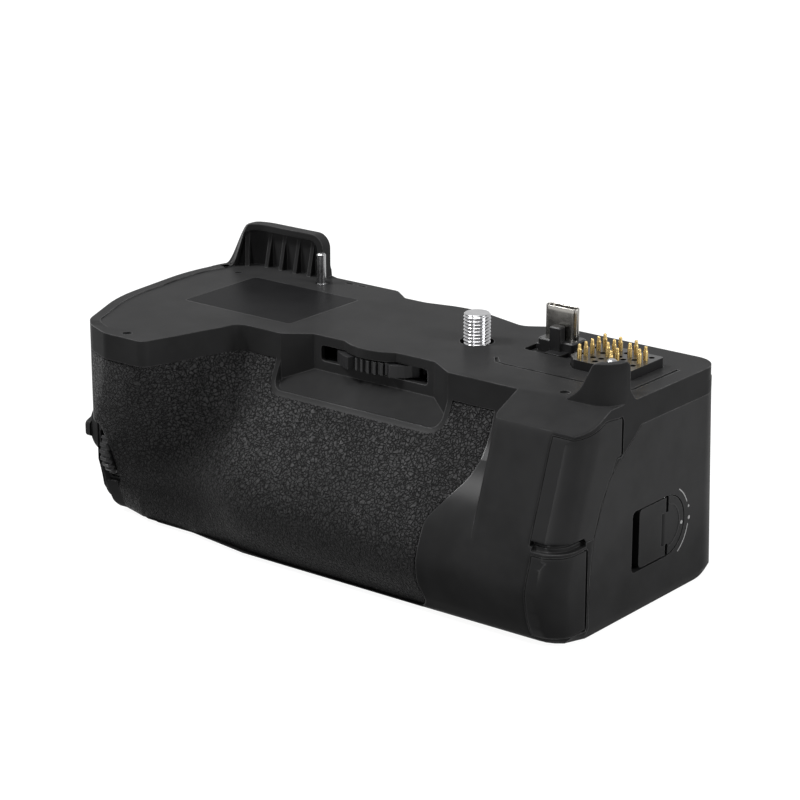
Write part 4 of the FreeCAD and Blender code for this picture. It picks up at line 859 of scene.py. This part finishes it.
def front_foot(p: Grid) -> Grid:
    """Foot of the right end with its front corner rounded.

    Outside a quarter circle that touches the end and the front at each height, a point is drawn in to the
    circle.

    Args:
        p: points.

    Returns:
        The moved points.
    """
    x, y, z = right_foot(p).T
    front = np.interp(z, *zip(*CORNER_FRONT))
    end = END_X - base_inset(z, FOOT_R) / 3.0
    dx, dy = x - (end - CORNER_R), (front + CORNER_R) - y
    far = np.hypot(dx, dy)
    outside = (dx > 0.0) & (dy > 0.0) & (z < CORNER_HIGH) & (far > CORNER_R)
    pull = np.where(outside, CORNER_R / np.maximum(far, 1e-6), 1.0)
    return np.stack([end - CORNER_R + dx * pull, front + CORNER_R - dy * pull, z], axis=-1)


# X of the end face that the shutter ring and button stand out from
SHUTTER_FACE_X = -86.0


def shutter_form(p: Grid) -> Grid:
    """Shutter ring and button stand out half as far beyond the end."""
    beyond_end = np.minimum(p[:, 0] - SHUTTER_FACE_X, 0.0)
    return p - beyond_end[:, None] * np.array([0.5, 0.0, 0.0])


# Rounding of the left foot, where it begins along X and how far it takes to grow
LEFT_FOOT_R = 7.0
LEFT_FOOT_X, LEFT_FOOT_RUN = -66.0, 8.0


def left_foot(p: Grid) -> Grid:
    """Foot of the left end, rounder than the solid's.

    Walls stand back by the difference of two quarter circles, along a direction that turns from left to
    front over the corner, and the finger grip's foot comes forward a little.

    Args:
        p: points.

    Returns:
        The moved points.
    """
    x, y, z = p.T
    share = np.clip((LEFT_FOOT_X - x) / LEFT_FOOT_RUN, 0.0, 1.0)
    share = share ** 2 * (3.0 - 2.0 * share)
    back = (base_inset(z, LEFT_FOOT_R) - base_inset(z, FOOT_R)) * share
    lean = 0.06 * np.clip(-18.0 - y, 0.0, 24.0)
    length = np.hypot(1.0, lean)
    span = np.clip((-44.0 - x) / 8.0, 0.0, 1.0) * np.clip((x + 79.0) / 6.0, 0.0, 1.0)
    forward = 2.2 * span * (y < -25.0) * (z < 4.0)
    return np.stack([x + back / length, y + back * lean / length - forward, z], axis=-1)


def reworked() -> tuple[Reworked, ...]:
    """Every solid that is shown by a reworked copy."""
    feet = levels(0.25, 0.7, 1.3, 2.1, 3.1, 4.4, 5.7, LEFT_FOOT_R)
    left = (-200.0, LEFT_FOOT_X, -200.0, 200.0, -1.0, LEFT_FOOT_R + 0.2)
    return (
        Reworked("top_case", Slot.PLATE, cuts=fans(RIM_AXIS, 100, 182, 3),
                 region=(-91.0, -75.0, 9.0, 22.0, 47.9, 60.0), form=upper_form),
        Reworked("main_case", Slot.CASE, cuts=feet, region=left, form=left_foot),
        Reworked("left_end_cap", Slot.CASE, cuts=feet, region=left, form=left_foot),
        Reworked("tray_cap", Slot.COVER, form=right_foot),
        Reworked("lan_door", Slot.DOOR, plug=(-26.1, -21.9, 35.1, 42.1)),
        Reworked("mobile_door", Slot.DOOR),
        Reworked("shutter_ring", Slot.CASE, form=shutter_form),
        Reworked("shutter_button", Slot.CASE, form=shutter_form),
    )


# New pieces


@dataclass
class GripSkin:
    """Leather-grained rubber over the hand swell and the finger grip, and the plastic strip left of it.

    Lengths are in millimetres.  The bay is left, right, low edge and corner radius; the window of the dial
    is its middle, half its size and its corner radius; a ramp is its start, its run and its softness.
    """

    left: float = -79.3
    strip: float = -76.3
    right: float = 24.0
    low: float = 1.4
    high: float = 41.95
    front: float = -22.0
    crest: float = 13.0
    palm_reach: tuple[float, float] = (13.6, 5.9)
    palm_ramp: tuple[float, float, float] = (-52.0, 14.0, 0.35)
    foot_reach: float = 2.9
    lobe_front: float = -46.0
    lobe_lean: float = 9.0
    lobe_foot: float = -49.7
    lobe_bend: float = 30.5
    step: float = 0.46
    strip_step: float = 0.2
    thickness: float = 1.2
    groove: float = 0.42
    groove_width: float = 0.7
    sink: float = 1.1
    bay: tuple[float, float, float, float] = (-38.6, 9.5, 35.2, 3.3)
    window: tuple[float, float, float, float, float] = (-77.2, 16.4, 2.15, 8.3, 1.3)
    right_line: tuple[tuple[float, float], ...] = ((0.0, 17.8), (8.0, 15.2), (21.2, 15.4), (30.5, 22.4),
                                                   (42.0, 21.0))
    body: str = "grip"

    def swell(self, z: Grid) -> Grid:
        """Share of the palm's full reach: a quarter sine from the plate down to the crest, and a shallow
        parabola from there to the base.

        Args:
            z: heights.

        Returns:
            The share at each height.
        """
        t = np.clip((PARTING_Z - z) / (PARTING_Z - self.crest), 0.0, 1.0)
        above = np.sin(0.5 * math.pi * t ** 1.15) ** 1.25
        below = 1.0 - 0.26 * (np.clip(self.crest - z, 0.0, self.crest) / self.crest) ** 2
        return np.where(z < self.crest, below, above)

    def depth(self, x: Grid, z: Grid) -> Grid:
        """Front of the skin.

        The palm stands out by a reach that ramps along the grip.  The finger grip's front leans back
        towards the base, and a soft ramp at its slanting foot leads from one to the other.  The left
        end's plan, two lines with a soft corner, cuts both.  The lowest edge is a quarter circle.

        Args:
            x: places along the grip.
            z: heights.

        Returns:
            y of the front.
        """
        start, run, softness = self.palm_ramp
        reach = self.palm_reach[0] + self.palm_reach[1] * ramp((x - start) / run, softness)
        near_foot = np.clip((9.0 - z) / 7.6, 0.0, 1.0) * np.clip((x + 76.0) / 7.0, 0.0, 1.0)
        reach = reach + self.foot_reach * near_foot * np.clip((-40.0 - x) / 12.0, 0.0, 1.0)
        palm = self.front - reach * self.swell(z)
        lobe = self.lobe_front + self.lobe_lean * np.clip(1.0 - z / PARTING_Z, 0.0, 1.0) ** 1.3
        slide = soft_start(self.lobe_bend - z, 5.0) - soft_start(self.lobe_bend - PARTING_Z, 5.0)
        foot = self.lobe_foot - 1.15 * slide
        softness = 0.22 + 0.25 * np.clip((PARTING_Z - z) / 18.0, 0.0, 1.0)
        share = ramp((foot - x) / (7.3 + 0.35 * (PARTING_Z - z)), softness)
        y = palm + (lobe - palm) * share + base_inset(z, FOOT_R)
        inset = base_inset(z, LEFT_FOOT_R)
        end_line = -23.5 - 2.253 * (x + 85.9) + 2.465 * inset
        corner_line = -42.2 - 0.421 * (x + 77.6) + 1.085 * inset
        return soft_max(y, soft_max(end_line, corner_line, 1.9), 0.5)

    def right_edge(self, z: Grid) -> Grid:
        """Right edge of the skin: short straight runs, smoothed over five millimetres of height.

        Args:
            z: heights.

        Returns:
            x of the edge.
        """
        heights = np.linspace(-6.0, 52.0, 581)
        edge = np.interp(heights, *zip(*self.right_line))
        kernel = np.hanning(51)
        smooth = np.convolve(edge, kernel / kernel.sum(), mode="same")
        return np.interp(z, heights, smooth)

    def beside_bay(self, x: Grid, z: Grid) -> Grid:
        """Distance out from the wheel bay, a slot open at its top."""
        x0, x1, low, radius = self.bay
        across = np.abs(x - 0.5 * (x0 + x1)) - (0.5 * (x1 - x0) - radius)
        return beyond(across, (low + radius) - z, radius)

    def beside_dial(self, x: Grid, z: Grid) -> Grid:
        """Distance out from the front dial's window."""
        at_x, at_z, half_x, half_z, radius = self.window
        return beyond(np.abs(x - at_x) - (half_x - radius), np.abs(z - at_z) - (half_z - radius), radius)

    def inside(self, x: Grid, z: Grid) -> Grid:
        """Distance in from the skin's edge.

        Args:
            x: places along the grip.
            z: heights.

        Returns:
            The distance, positive on the skin and negative under its neighbours.
        """
        right = np.minimum(self.right_edge(z) - x, self.beside_bay(x, z))
        left = np.minimum(self.high + 0.05 - z, x - self.strip)
        return np.minimum(np.minimum(right, left), self.beside_dial(x, z))

    def slab(self, name: str, slot: Slot, reach: tuple[float, float], step: float,
             edge: Callable[[Grid, Grid], Grid], lift: float) -> bpy.types.Object:
        """Closed slab over a grid of x and z, kept where the edge distance is positive.

        Towards its edge the front rolls down into a groove, a parabola, and beyond it sinks under its
        neighbours.

        Args:
            name: name of the piece.
            slot: its finish.
            reach: lowest and highest x.
            step: spacing of the grid.
            edge: function of x and z that gives the distance in from the edge.
            lift: how far the front stands before the depth function.

        Returns:
            The object.
        """
        columns = int((reach[1] - reach[0]) / step) + 1
        rows = int((self.high - self.low) / step) + 1
        size = rows * columns
        heights = np.linspace(self.low, self.high, rows)
        z, x = np.meshgrid(heights, np.linspace(*reach, columns), indexing="ij")
        gap = edge(x, z)
        rolled = self.groove * np.clip(1.0 - gap / self.groove_width, 0.0, 1.0) ** 2
        sunk = self.sink * np.clip(-gap / 0.5 - 0.2, 0.0, 1.0)
        front = np.stack([x, self.depth(x, z) + rolled + sunk - lift, z], axis=-1)
        back = front + np.array([0.0, self.thickness, 0.0])
        quads = grid_faces(rows, columns, False)
        quads = quads[(gap > -1.0).ravel()[quads].all(axis=1)]
        start, end = quads.ravel(), np.roll(quads, -1, axis=1).ravel()
        rim = ~np.isin(start * size + end, end * size + start)
        start, end = start[rim], end[rim]
        sides = np.stack([end, start, start + size, end + size], axis=-1)
        faces = np.concatenate([quads, quads[:, ::-1] + size, sides])
        used, numbers = np.unique(faces, return_inverse=True)
        shape = Shape()
        shape.add(np.concatenate([front.reshape(-1, 3), back.reshape(-1, 3)])[used], numbers.reshape(-1, 4))
        return shape.piece(name, self.body, slot, sharp=60.0)

    def build(self) -> None:
        """Make the skin and the strip."""
        reach = (self.strip - 1.2, self.right)
        skin = self.slab("grip_skin", Slot.RUBBER, reach, self.step, self.inside, -0.03)
        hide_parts("front_grip_rubber")
        self.slab("grip_strip", Slot.CASE, (self.left, self.strip + 0.4), self.strip_step,
                  lambda x, z: np.minimum(self.beside_dial(x, z) + 0.2, 9.0), -0.06)


@dataclass
class CameraScrew:
    """Quarter-inch screw with a rolled thread, its neck, gear and pivot.

    Lengths are in millimetres.  The gear is its root and tip radius and its low and high face.
    """

    radius: float = 3.02
    root: float = 2.70
    pitch: float = 0.76
    low: float = 46.0
    high: float = 54.5
    tip: float = 0.3
    rows: int = 225
    columns: int = 56
    gear: tuple[float, float, float, float] = (8.0, 9.25, 38.9, 41.5)
    teeth: int = 25
    neck: tuple[tuple[float, float], ...] = ((2.4, 41.4), (2.4, 46.1))
    pivot: tuple[tuple[float, float], ...] = ((1.7, 31.15), (2.0, 31.4), (2.0, 39.0))
    body: str = "camera_screw"

    def thread(self) -> Grid:
        """Thread: the radius falls from the crest to the root and back once per pitch, and the pattern
        climbs one pitch per turn; a cone cuts the top.

        Returns:
            Array of rings by points by three.
        """
        heights = np.linspace(self.low, self.high, self.rows)
        z, angle = np.meshgrid(heights, np.linspace(0.0, TAU, self.columns, endpoint=False), indexing="ij")
        phase = np.mod((z - self.low) / self.pitch - angle / TAU, 1.0)
        depth = np.clip(np.abs(2.0 * phase - 1.0) * 1.3 - 0.15, 0.0, 1.0)
        radius = self.radius - (self.radius - self.root) * depth
        radius = np.minimum(radius, self.radius - np.clip(z - (self.high - self.tip), 0.0, None) * 1.1)
        return np.stack([radius * np.cos(angle), radius * np.sin(angle), z], axis=-1)

    def toothed(self) -> Grid:
        """Gear: the radius swings between root and tip with clipped waves, one per tooth.

        Returns:
            Array of two rings by points by three.
        """
        root, tip, low, high = self.gear
        angle = np.linspace(0.0, TAU, self.teeth * 12, endpoint=False)
        wave = np.clip(0.5 + 1.1 * np.cos(self.teeth * angle), 0.0, 1.0)
        radius = root + (tip - root) * wave
        ring = np.stack([radius * np.cos(angle), radius * np.sin(angle), np.zeros_like(angle)], axis=-1)
        return np.stack([ring + (0.0, 0.0, low), ring + (0.0, 0.0, high)])

    def build(self) -> None:
        """Make the screw in one piece."""
        shape = Shape()
        shape.tube(self.thread())
        shape.tube(turned(self.neck, 40))
        shape.tube(turned(self.pivot, 32))
        shape.tube(self.toothed())
        piece = shape.piece("threaded_screw", self.body, Slot.SCREW, sharp=40.0)
        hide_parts("camera_screw")


@dataclass
class PlugShell:
    """Drawn metal shell of the plug with its tongue, its collar and the post in front of it.

    Lengths are in millimetres.  The collar is half its width and depth and its top; the post is left, right,
    front, back and top.
    """

    at: tuple[float, float] = (17.2, 7.9)
    size: tuple[float, float] = (8.25, 2.4)
    top: float = 57.3
    low: float = 44.0
    floor: float = 46.0
    wall: float = 0.3
    tongue: tuple[float, float] = (3.05, 0.32)
    collar: tuple[float, float, float] = (4.7, 2.9, 50.1)
    post: tuple[float, float, float, float, float] = (16.2, 19.0, 4.2, 6.5, 53.4)
    seat: float = 46.5
    body: str = "grip"

    def ring(self, inset: float, z: float, count: int = 56) -> Grid:
        """Slot-shaped ring: a circle whose halves are moved apart by the straight part.

        Args:
            inset: how far the ring lies inside the shell's outer face.
            z: its height.
            count: number of points.

        Returns:
            Its points.
        """
        radius = self.size[1] / 2 - inset
        straight = (self.size[0] - self.size[1]) / 2
        angle = (np.arange(count) + 0.5) * TAU / count
        x = radius * np.cos(angle) + np.where(np.cos(angle) > 0.0, straight, -straight)
        return np.stack([self.at[0] + x, self.at[1] + radius * np.sin(angle), np.full(count, z)], axis=-1)

    def tongue_ring(self, shrink: float, z: float, count: int = 24) -> Grid:
        """Ring of the tongue: a circle pushed out towards its square.

        Args:
            shrink: how far the ring is drawn in.
            z: its height.
            count: number of points.

        Returns:
            Its points.
        """
        angle = (np.arange(count) + 0.5) * TAU / count
        c, s = (np.sign(v) * np.abs(v) ** 0.3 for v in (np.cos(angle), np.sin(angle)))
        half_x, half_y = self.tongue
        return np.stack([self.at[0] + (half_x - shrink) * c, self.at[1] + (half_y - shrink) * s,
                         np.full(count, z)], axis=-1)

    def build(self) -> None:
        """Carry the ring up outside, over the lip and down inside, and add the tongue."""
        half = self.wall / 2
        lip = [(half * (1.0 - math.cos(t)), self.top - half + half * math.sin(t))
               for t in np.linspace(0.0, math.pi, 7)]
        steps = [(0.0, self.low), (0.0, self.top - 1.0), *lip, (self.wall, self.floor)]
        tongue = ((0.0, self.floor - 0.2), (0.0, self.top - 1.2), (0.12, self.top - 0.75))
        shape = Shape()
        shape.tube(np.stack([self.ring(*step) for step in steps]))
        shape.tube(np.stack([self.tongue_ring(*step) for step in tongue]))
        piece = shape.piece("plug_shell", self.body, Slot.NICKEL, sharp=50.0)
        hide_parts("usb_plug_shell")
        self.build_guides()

    def build_guides(self) -> None:
        """Collar and post: rounded squares carried upward, with the top edges drawn in."""
        half_x, half_y, top = self.collar
        x0, x1, y0, y1, high = self.post
        middle, half = (0.5 * (x0 + x1), 0.5 * (y0 + y1)), (0.5 * (x1 - x0), 0.5 * (y1 - y0))
        shape = Shape()
        collar = ((self.seat, 0.0), (top - 0.3, 0.0), (top, 0.3))
        post = ((self.seat, 0.0), (high - 0.25, 0.0), (high, 0.25))
        shape.tube(rounded_column(self.at, (half_x, half_y), 0.9, collar))
        shape.tube(rounded_column(middle, half, 0.35, post))
        shape.piece("plug_guides", self.body, Slot.CONNECTOR, sharp=35.0)


@dataclass
class ContactPins:
    """Sprung contact pins with domed tips over their board, and near-black discs on the block, a painted
    shade in its bores.

    Lengths are in millimetres.  The layout has a row per X place, with 1 for a pin and 0 for an empty bore;
    the board is left, right, front, back, low and high.
    """

    first: tuple[float, float] = (28.4, -1.8)
    pitch: tuple[float, float] = (4.0, 2.4)
    layout: tuple[str, ...] = ("11111", "00111", "11011", "00110")
    spare: tuple[tuple[float, float], ...] = ((26.9, 1.3), (30.4, 0.4), (30.3, 4.2), (34.6, 4.2), (34.4, 7.2),
                                              (38.4, 1.3), (38.4, 4.2), (26.8, 6.6))
    board: tuple[float, float, float, float, float, float] = (24.2, 43.6, -4.8, 11.2, 42.0, 43.0)
    radius: float = 0.53
    low: float = 42.9
    top: float = 53.2
    block_top: float = 50.0
    sides: int = 16
    body: str = "grip"

    def places(self, wanted: str) -> Grid:
        """Places in the layout.

        Args:
            wanted: 1 for the pins, 0 for the empty bores.

        Returns:
            One place per row of the array.
        """
        marks = np.array([list(row) for row in self.layout])
        row, column = np.nonzero(marks == wanted)
        return np.stack([self.first[0] + row * self.pitch[0], self.first[1] + column * self.pitch[1],
                         np.zeros(len(row))], axis=-1)

    def copies(self, shape: Shape, profile: list, places: Grid) -> None:
        """Set a turned shape at every place.

        Args:
            shape: what they are added to.
            profile: pairs of radius and height.
            places: one place per row.
        """
        rings = turned(profile, self.sides)
        for place in places:
            shape.tube(rings + place)

    def build(self) -> None:
        """Make the pins, and the discs of painted shade in the bores."""
        r, top = self.radius, self.top
        dome = [(0.64 * r * math.cos(a), top - 0.22 + 0.22 * math.sin(a)) for a in np.linspace(0.0, 1.45, 5)]
        steps = [(r, self.low), (r, top - 1.35), (0.92 * r, top - 1.2), (0.74 * r, top - 0.95),
                 (0.70 * r, top - 0.3)]
        shape = Shape()
        self.copies(shape, steps + dome, self.places("1"))
        x0, x1, y0, y1, low, high = self.board
        plan = np.array([[x0, y0], [x1, y0], [x1, y1], [x0, y1]])
        shape.tube(np.stack([np.column_stack([plan, np.full(4, z)]) for z in (low, high)]))
        piece = shape.piece("sprung_contacts", self.body, Slot.GOLD, sharp=40.0)
        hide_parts("contact_pins")
        spare = np.column_stack([self.spare, np.zeros(len(self.spare))])
        t = self.block_top
        # Dark discs just over the block's top: a painted shade for the bores
        bore_shadows = Shape()
        self.copies(bore_shadows, [(0.68, t - 0.05), (0.66, t + 0.008), (0.60, t + 0.012), (0.50, t + 0.010)],
                    np.concatenate([self.places("0"), spare]))
        bore_shadows.piece("contact_bore_shadows", self.body, Slot.BORE, sharp=30.0)


@dataclass
class LatchMarks:
    """Printed dots and a short arc beside the latch, and the ring pressed into its head.

    Lengths are in millimetres.  A dot is its y, z and radius; an arc is its first and last angle in degrees.
    """

    face: float = END_X
    at: tuple[float, float] = (0.3, 16.4)
    print_t: float = 0.03
    dots: tuple[tuple[float, float, float], ...] = ((8.9, 15.9, 0.42), (8.6, 18.6, 0.30))
    head_dot: tuple[float, float, float] = (6.1, 15.6, 0.42)
    arcs: tuple[tuple[float, float], ...] = ((24.0, 58.0), (-58.0, -12.0))
    arc_radii: tuple[float, float] = (8.2, 8.45)
    ring_radii: tuple[float, float] = (4.7, 5.0)
    body: str = "tray"

    def bar(self, radii: tuple[float, float], angles: tuple[float, float], low: float, high: float) -> Grid:
        """Rings of a curved bar: a rectangle carried along an arc about the latch axis.

        Args:
            radii: inner and outer radius.
            angles: first and last angle in degrees.
            low: x of its back.
            high: x of its front.

        Returns:
            Array of rings by points by three.
        """
        angle = np.radians(np.linspace(*angles, 33))
        y, z = self.at
        inner, outer = radii
        corners = ((inner, low), (outer, low), (outer, high), (inner, high))
        loops = [np.stack([np.full_like(angle, x), y + r * np.cos(angle), z + r * np.sin(angle)], axis=-1)
                 for r, x in corners]
        return np.stack(loops, axis=1)

    def dot(self, dot: tuple[float, float, float], low: float, high: float) -> Grid:
        """Rings of a round dot between two places along X."""
        y, z, r = dot
        return turned([(r, low), (r, high)], 24, (0.0, y, z), "x")

    def build(self) -> None:
        """Make the marks on the cap and the latch, and the raised ring on the latch head."""
        base, top, head = self.face - 0.02, self.face + self.print_t, self.face - 0.1
        marks, latch, ring = Shape(), Shape(), Shape()
        for dot in self.dots:
            marks.tube(self.dot(dot, base, top))
        for arc in self.arcs:
            marks.tube(self.bar(self.arc_radii, arc, base, top))
        marks.piece("latch_marks", self.body, Slot.INK, sharp=30.0)
        latch.tube(self.dot(self.head_dot, self.face - 0.12, self.face - 0.07))
        latch.piece("latch_dot", self.body, Slot.INK, sharp=30.0)
        ring.tube(self.bar(self.ring_radii, (-82.0, 82.0), head - 0.3, head + 0.08))
        ring.piece("latch_ring", self.body, Slot.COVER, sharp=30.0)


@dataclass
class FrontDial:
    """Ribbed command dial behind the window at the left end of the grip.

    Lengths are in millimetres.  The rim is the places in from each end and how far the rim is drawn in there.
    """

    at: tuple[float, float] = (-32.0, 16.4)
    span: tuple[float, float] = (-78.4, -75.6)
    radius: float = 7.35
    rib: float = 0.5
    ribs: int = 26
    rim: tuple[tuple[float, float], ...] = ((0.0, 0.9), (0.15, 0.45), (0.5, 0.0))
    body: str = "front_dial"

    def build(self) -> None:
        """Carry a ribbed circle along X: the radius falls by the rib's height between the ribs, with clipped
        waves, and the two rims are drawn in."""
        angle = np.linspace(0.0, TAU, self.ribs * 10, endpoint=False)
        wave = np.clip(0.5 + 1.6 * np.cos(self.ribs * angle), 0.0, 1.0)
        x0, x1 = self.span
        steps = [(x0 + along, inward) for along, inward in self.rim]
        steps += [(x1 - along, inward) for along, inward in reversed(self.rim)]
        rings = []
        for x, inward in steps:
            radius = self.radius - inward - self.rib * (1.0 - wave)
            rings.append(np.stack([np.full_like(angle, x), self.at[0] + radius * np.cos(angle),
                                   self.at[1] + radius * np.sin(angle)], axis=-1))
        shape = Shape()
        shape.tube(np.stack(rings))
        piece = shape.piece("front_dial_ribs", self.body, Slot.WHEEL, sharp=35.0)
        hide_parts("front_dial")


@dataclass
class CrossScrews:
    """Small countersunk screws in the base.

    Lengths are in millimetres.  The cross is half its groove's width, its reach and its depth.
    """

    places: tuple[tuple[float, float], ...] = ((-70.0, -26.0), (-70.0, 12.0), (-30.0, 13.0), (-30.0, -30.0),
                                               (12.0, 13.0), (30.0, -26.0), (38.0, 12.0))
    radius: float = 1.7
    dome: float = 0.22
    cross: tuple[float, float, float] = (0.26, 1.05, 0.34)
    low: float = -0.04
    body: str = "grip"

    def build(self) -> None:
        """Each head: a shallow dome turned about Z, with a cross of two grooves pressed into it."""
        turn = np.linspace(0.0, TAU, 40, endpoint=False)
        share, angle = np.meshgrid(np.linspace(1.0, 0.0, 9), turn, indexing="ij")
        radius = self.radius * np.maximum(share, 0.01)
        x, y = radius * np.cos(angle), radius * np.sin(angle)
        height = self.dome * np.sqrt(1.0 - 0.85 * share ** 2)
        arm, reach = np.minimum(np.abs(x), np.abs(y)), np.maximum(np.abs(x), np.abs(y))
        half, long, deep = self.cross
        groove = np.clip((half - arm) / 0.1, 0.0, 1.0) * np.clip((long - reach) / 0.1, 0.0, 1.0)
        top = np.stack([x, y, self.dome - (height - deep * groove)], axis=-1)[:, ::-1, :]
        heads = Shape()
        for at in self.places:
            heads.tube(top + np.array([*at, self.low]))
        heads.piece("base_screws", self.body, Slot.STEEL, sharp=40.0)


@dataclass
class JackContacts:
    """Eight spring contacts of the network jack.

    Lengths are in millimetres.  The springs start at the front, run back along X and stand off the jack's
    wall by a bow that falls from its first height by its drop.
    """

    centre: tuple[float, float] = (-29.0, 32.6)
    tilt: float = -19.2
    front: float = 41.4
    run: float = 9.0
    wall: float = 2.2
    bow: tuple[float, float] = (1.9, 1.5)
    wires: int = 8
    pitch: float = 1.02
    half: float = 0.16
    body: str = "grip"

    def build(self) -> None:
        """Each spring: a square wire that follows a bow, a quarter sine, into the jack."""
        shape = Shape()
        along = np.linspace(0.0, 1.0, 15)
        x = self.front - self.run * along
        bow = self.bow[0] - self.bow[1] * np.sin(0.5 * math.pi * along)
        turn = math.radians(self.tilt)
        corners = self.half * np.array([(-1.0, -1.0), (1.0, -1.0), (1.0, 1.0), (-1.0, 1.0)])
        for n in range(self.wires):
            across = bow[:, None] - self.wall + corners[:, 0]
            up = (n - 0.5 * (self.wires - 1)) * self.pitch + corners[:, 1]
            y = self.centre[0] + across * math.cos(turn) - up * math.sin(turn)
            z = self.centre[1] + across * math.sin(turn) + up * math.cos(turn)
            shape.tube(np.stack([np.broadcast_to(x[:, None], y.shape), y, z], axis=-1)[::-1])
        shape.piece("jack_springs", self.body, Slot.GOLD, sharp=40.0)


@dataclass
class Dressing:
    """Finish of every node that keeps its solid."""

    smooth_doors: tuple[str, ...] = ("lan_door", "mobile_door")
    bright_pins: tuple[str, ...] = ("locating_pin_left", "locating_pin_right")

    def build(self, frame: dict) -> None:
        """Give each node the material of its slot.
        """
        extra = (Slot.INK, Slot.DOOR, Slot.NICKEL, Slot.PLATE, Slot.DARK_STEEL, Slot.BORE)
        finishes = {slot.value[0]: slot for slot in Slot if slot not in extra}
        for name, node in frame["nodes"].items():
            for place in node.material_slots:
                finish = finishes[place.material.name.split(".")[0]]
                if name in self.smooth_doors:
                    finish = Slot.DOOR
                if name in self.bright_pins:
                    finish = Slot.DARK_STEEL
                place.material = finish.material()
            log.info("%s dressed", name)


# Stage


@dataclass
class Stage:
    """Camera, light, floor and background.

    The camera's place and the floor are in millimetres, lamps in metres and watts.
    """

    azimuth: float = 38.23
    elevation: float = 18.07
    place: tuple[float, float, float] = (343.98, -463.90, 222.76)
    lens: float = 123.9
    aim: tuple[float, float, float] = (-0.02, -0.01, 0.03)
    floor_z: float = -0.02
    floor_side: float = 4.0
    floor_grey: float = 0.16
    floor_glow: float = 0.94
    fill: float = 0.05

    def camera(self) -> None:
        """Camera at the photograph's angle."""
        data = bpy.data.cameras.new("camera")
        data.lens = self.lens
        data.sensor_width = 36.0
        data.clip_start = 0.01
        data.clip_end = 50.0
        camera = bpy.data.objects.new("camera", data)
        bpy.context.scene.collection.objects.link(camera)
        camera.location = Vector(self.place) * MM
        a, e = math.radians(self.azimuth), math.radians(self.elevation)
        towards = -Vector((math.sin(a) * math.cos(e), -math.cos(a) * math.cos(e), math.sin(e)))
        camera.rotation_euler = towards.to_track_quat("-Z", "Y").to_euler()
        bpy.context.scene.camera = camera

    def lamp(self, name: str, at: tuple[float, float, float], size: tuple[float, float],
             power: float) -> None:
        """Soft box aimed at the middle of the grip.

        Args:
            name: name of the lamp.
            at: place in metres.
            size: width and height in metres.
            power: watts.
        """
        data = bpy.data.lights.new(name, "AREA")
        data.shape = "RECTANGLE"
        data.size, data.size_y = size
        data.energy = power
        lamp = bpy.data.objects.new(name, data)
        bpy.context.scene.collection.objects.link(lamp)
        lamp.location = at
        towards = Vector(self.aim) - Vector(at)
        lamp.rotation_euler = towards.to_track_quat("-Z", "Y").to_euler()

    def backdrop_share(self, tree: bpy.types.NodeTree) -> Value:
        """1 for camera, glossy and transmission rays.

        Args:
            tree: tree of the floor's material or of the world.

        Returns:
            The share.
        """
        share = add_node(tree, "LightPath", output="Is Camera Ray")
        for name in ("Is Glossy Ray", "Is Transmission Ray"):
            share = share.math("MAXIMUM", add_node(tree, "LightPath", output=name))
        return share

    def floor(self) -> None:
        """Wide pale floor that keeps the grip's shadow."""
        side, z = self.floor_side, self.floor_z * MM
        mesh = bpy.data.meshes.new("floor")
        corners = [(-side, -side, z), (side, -side, z), (side, side, z), (-side, side, z)]
        mesh.from_pydata(corners, [], [(0, 1, 2, 3)])
        shader = Shader("floor_card")
        shader.set(Base_Color=(self.floor_grey,) * 3, Roughness=0.9, Specular_IOR_Level=0.1)
        tree = shader.tree
        glow = add_node(tree, "Emission", inputs={"Strength": self.backdrop_share(tree) * self.floor_glow})
        both = add_node(tree, "AddShader", inputs={0: Value(tree, shader.surface.outputs[0]), 1: glow})
        tree.links.new(both.socket, shader.output.inputs["Surface"])
        mesh.materials.append(shader.material)
        floor = bpy.data.objects.new("floor", mesh)
        bpy.context.scene.collection.objects.link(floor)

    def world(self) -> None:
        """White surroundings for what the camera and reflections see, a weaker fill for the rest."""
        world = bpy.data.worlds.new("surroundings")
        world.use_nodes = True
        tree = world.node_tree
        tree.nodes.clear()
        strength = self.fill + self.backdrop_share(tree) * (1.0 - self.fill)
        white = (1.0, 1.0, 1.0, 1.0)
        background = add_node(tree, "Background", inputs={"Color": white, "Strength": strength})
        output = tree.nodes.new("ShaderNodeOutputWorld")
        tree.links.new(background.socket, output.inputs["Surface"])
        bpy.context.scene.world = world

    def build(self) -> None:
        """Set the stage."""
        bpy.context.scene.view_settings.view_transform = "Standard"
        self.camera()
        self.lamp("top", (-0.10, -0.1, 1.4), (0.7, 0.7), 12.0)
        self.lamp("right", (1.5, 0.25, 0.6), (0.6, 0.6), 18.0)
        self.lamp("key", (-0.75, -0.55, 1.11), (0.34, 0.34), 15.0)
        self.lamp("strip", (0.12, -1.38, 0.40), (0.10, 0.6), 3.6)
        self.floor()
        self.world()


def main() -> None:
    """Load the frame, build every piece in order and set the stage."""
    logging.basicConfig(level=logging.INFO, format="%(name)s: %(message)s")
    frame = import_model()
    Dressing().build(frame)
    for copy in reworked():
        copy.build(frame)
    for piece in (GripSkin(), CameraScrew(), PlugShell(), ContactPins(), LatchMarks(), FrontDial(),
                  CrossScrews(), JackContacts()):
        log.info("building %s", type(piece).__name__)
        piece.build()
    Stage().build()


if __name__ == "__main__":
    main()
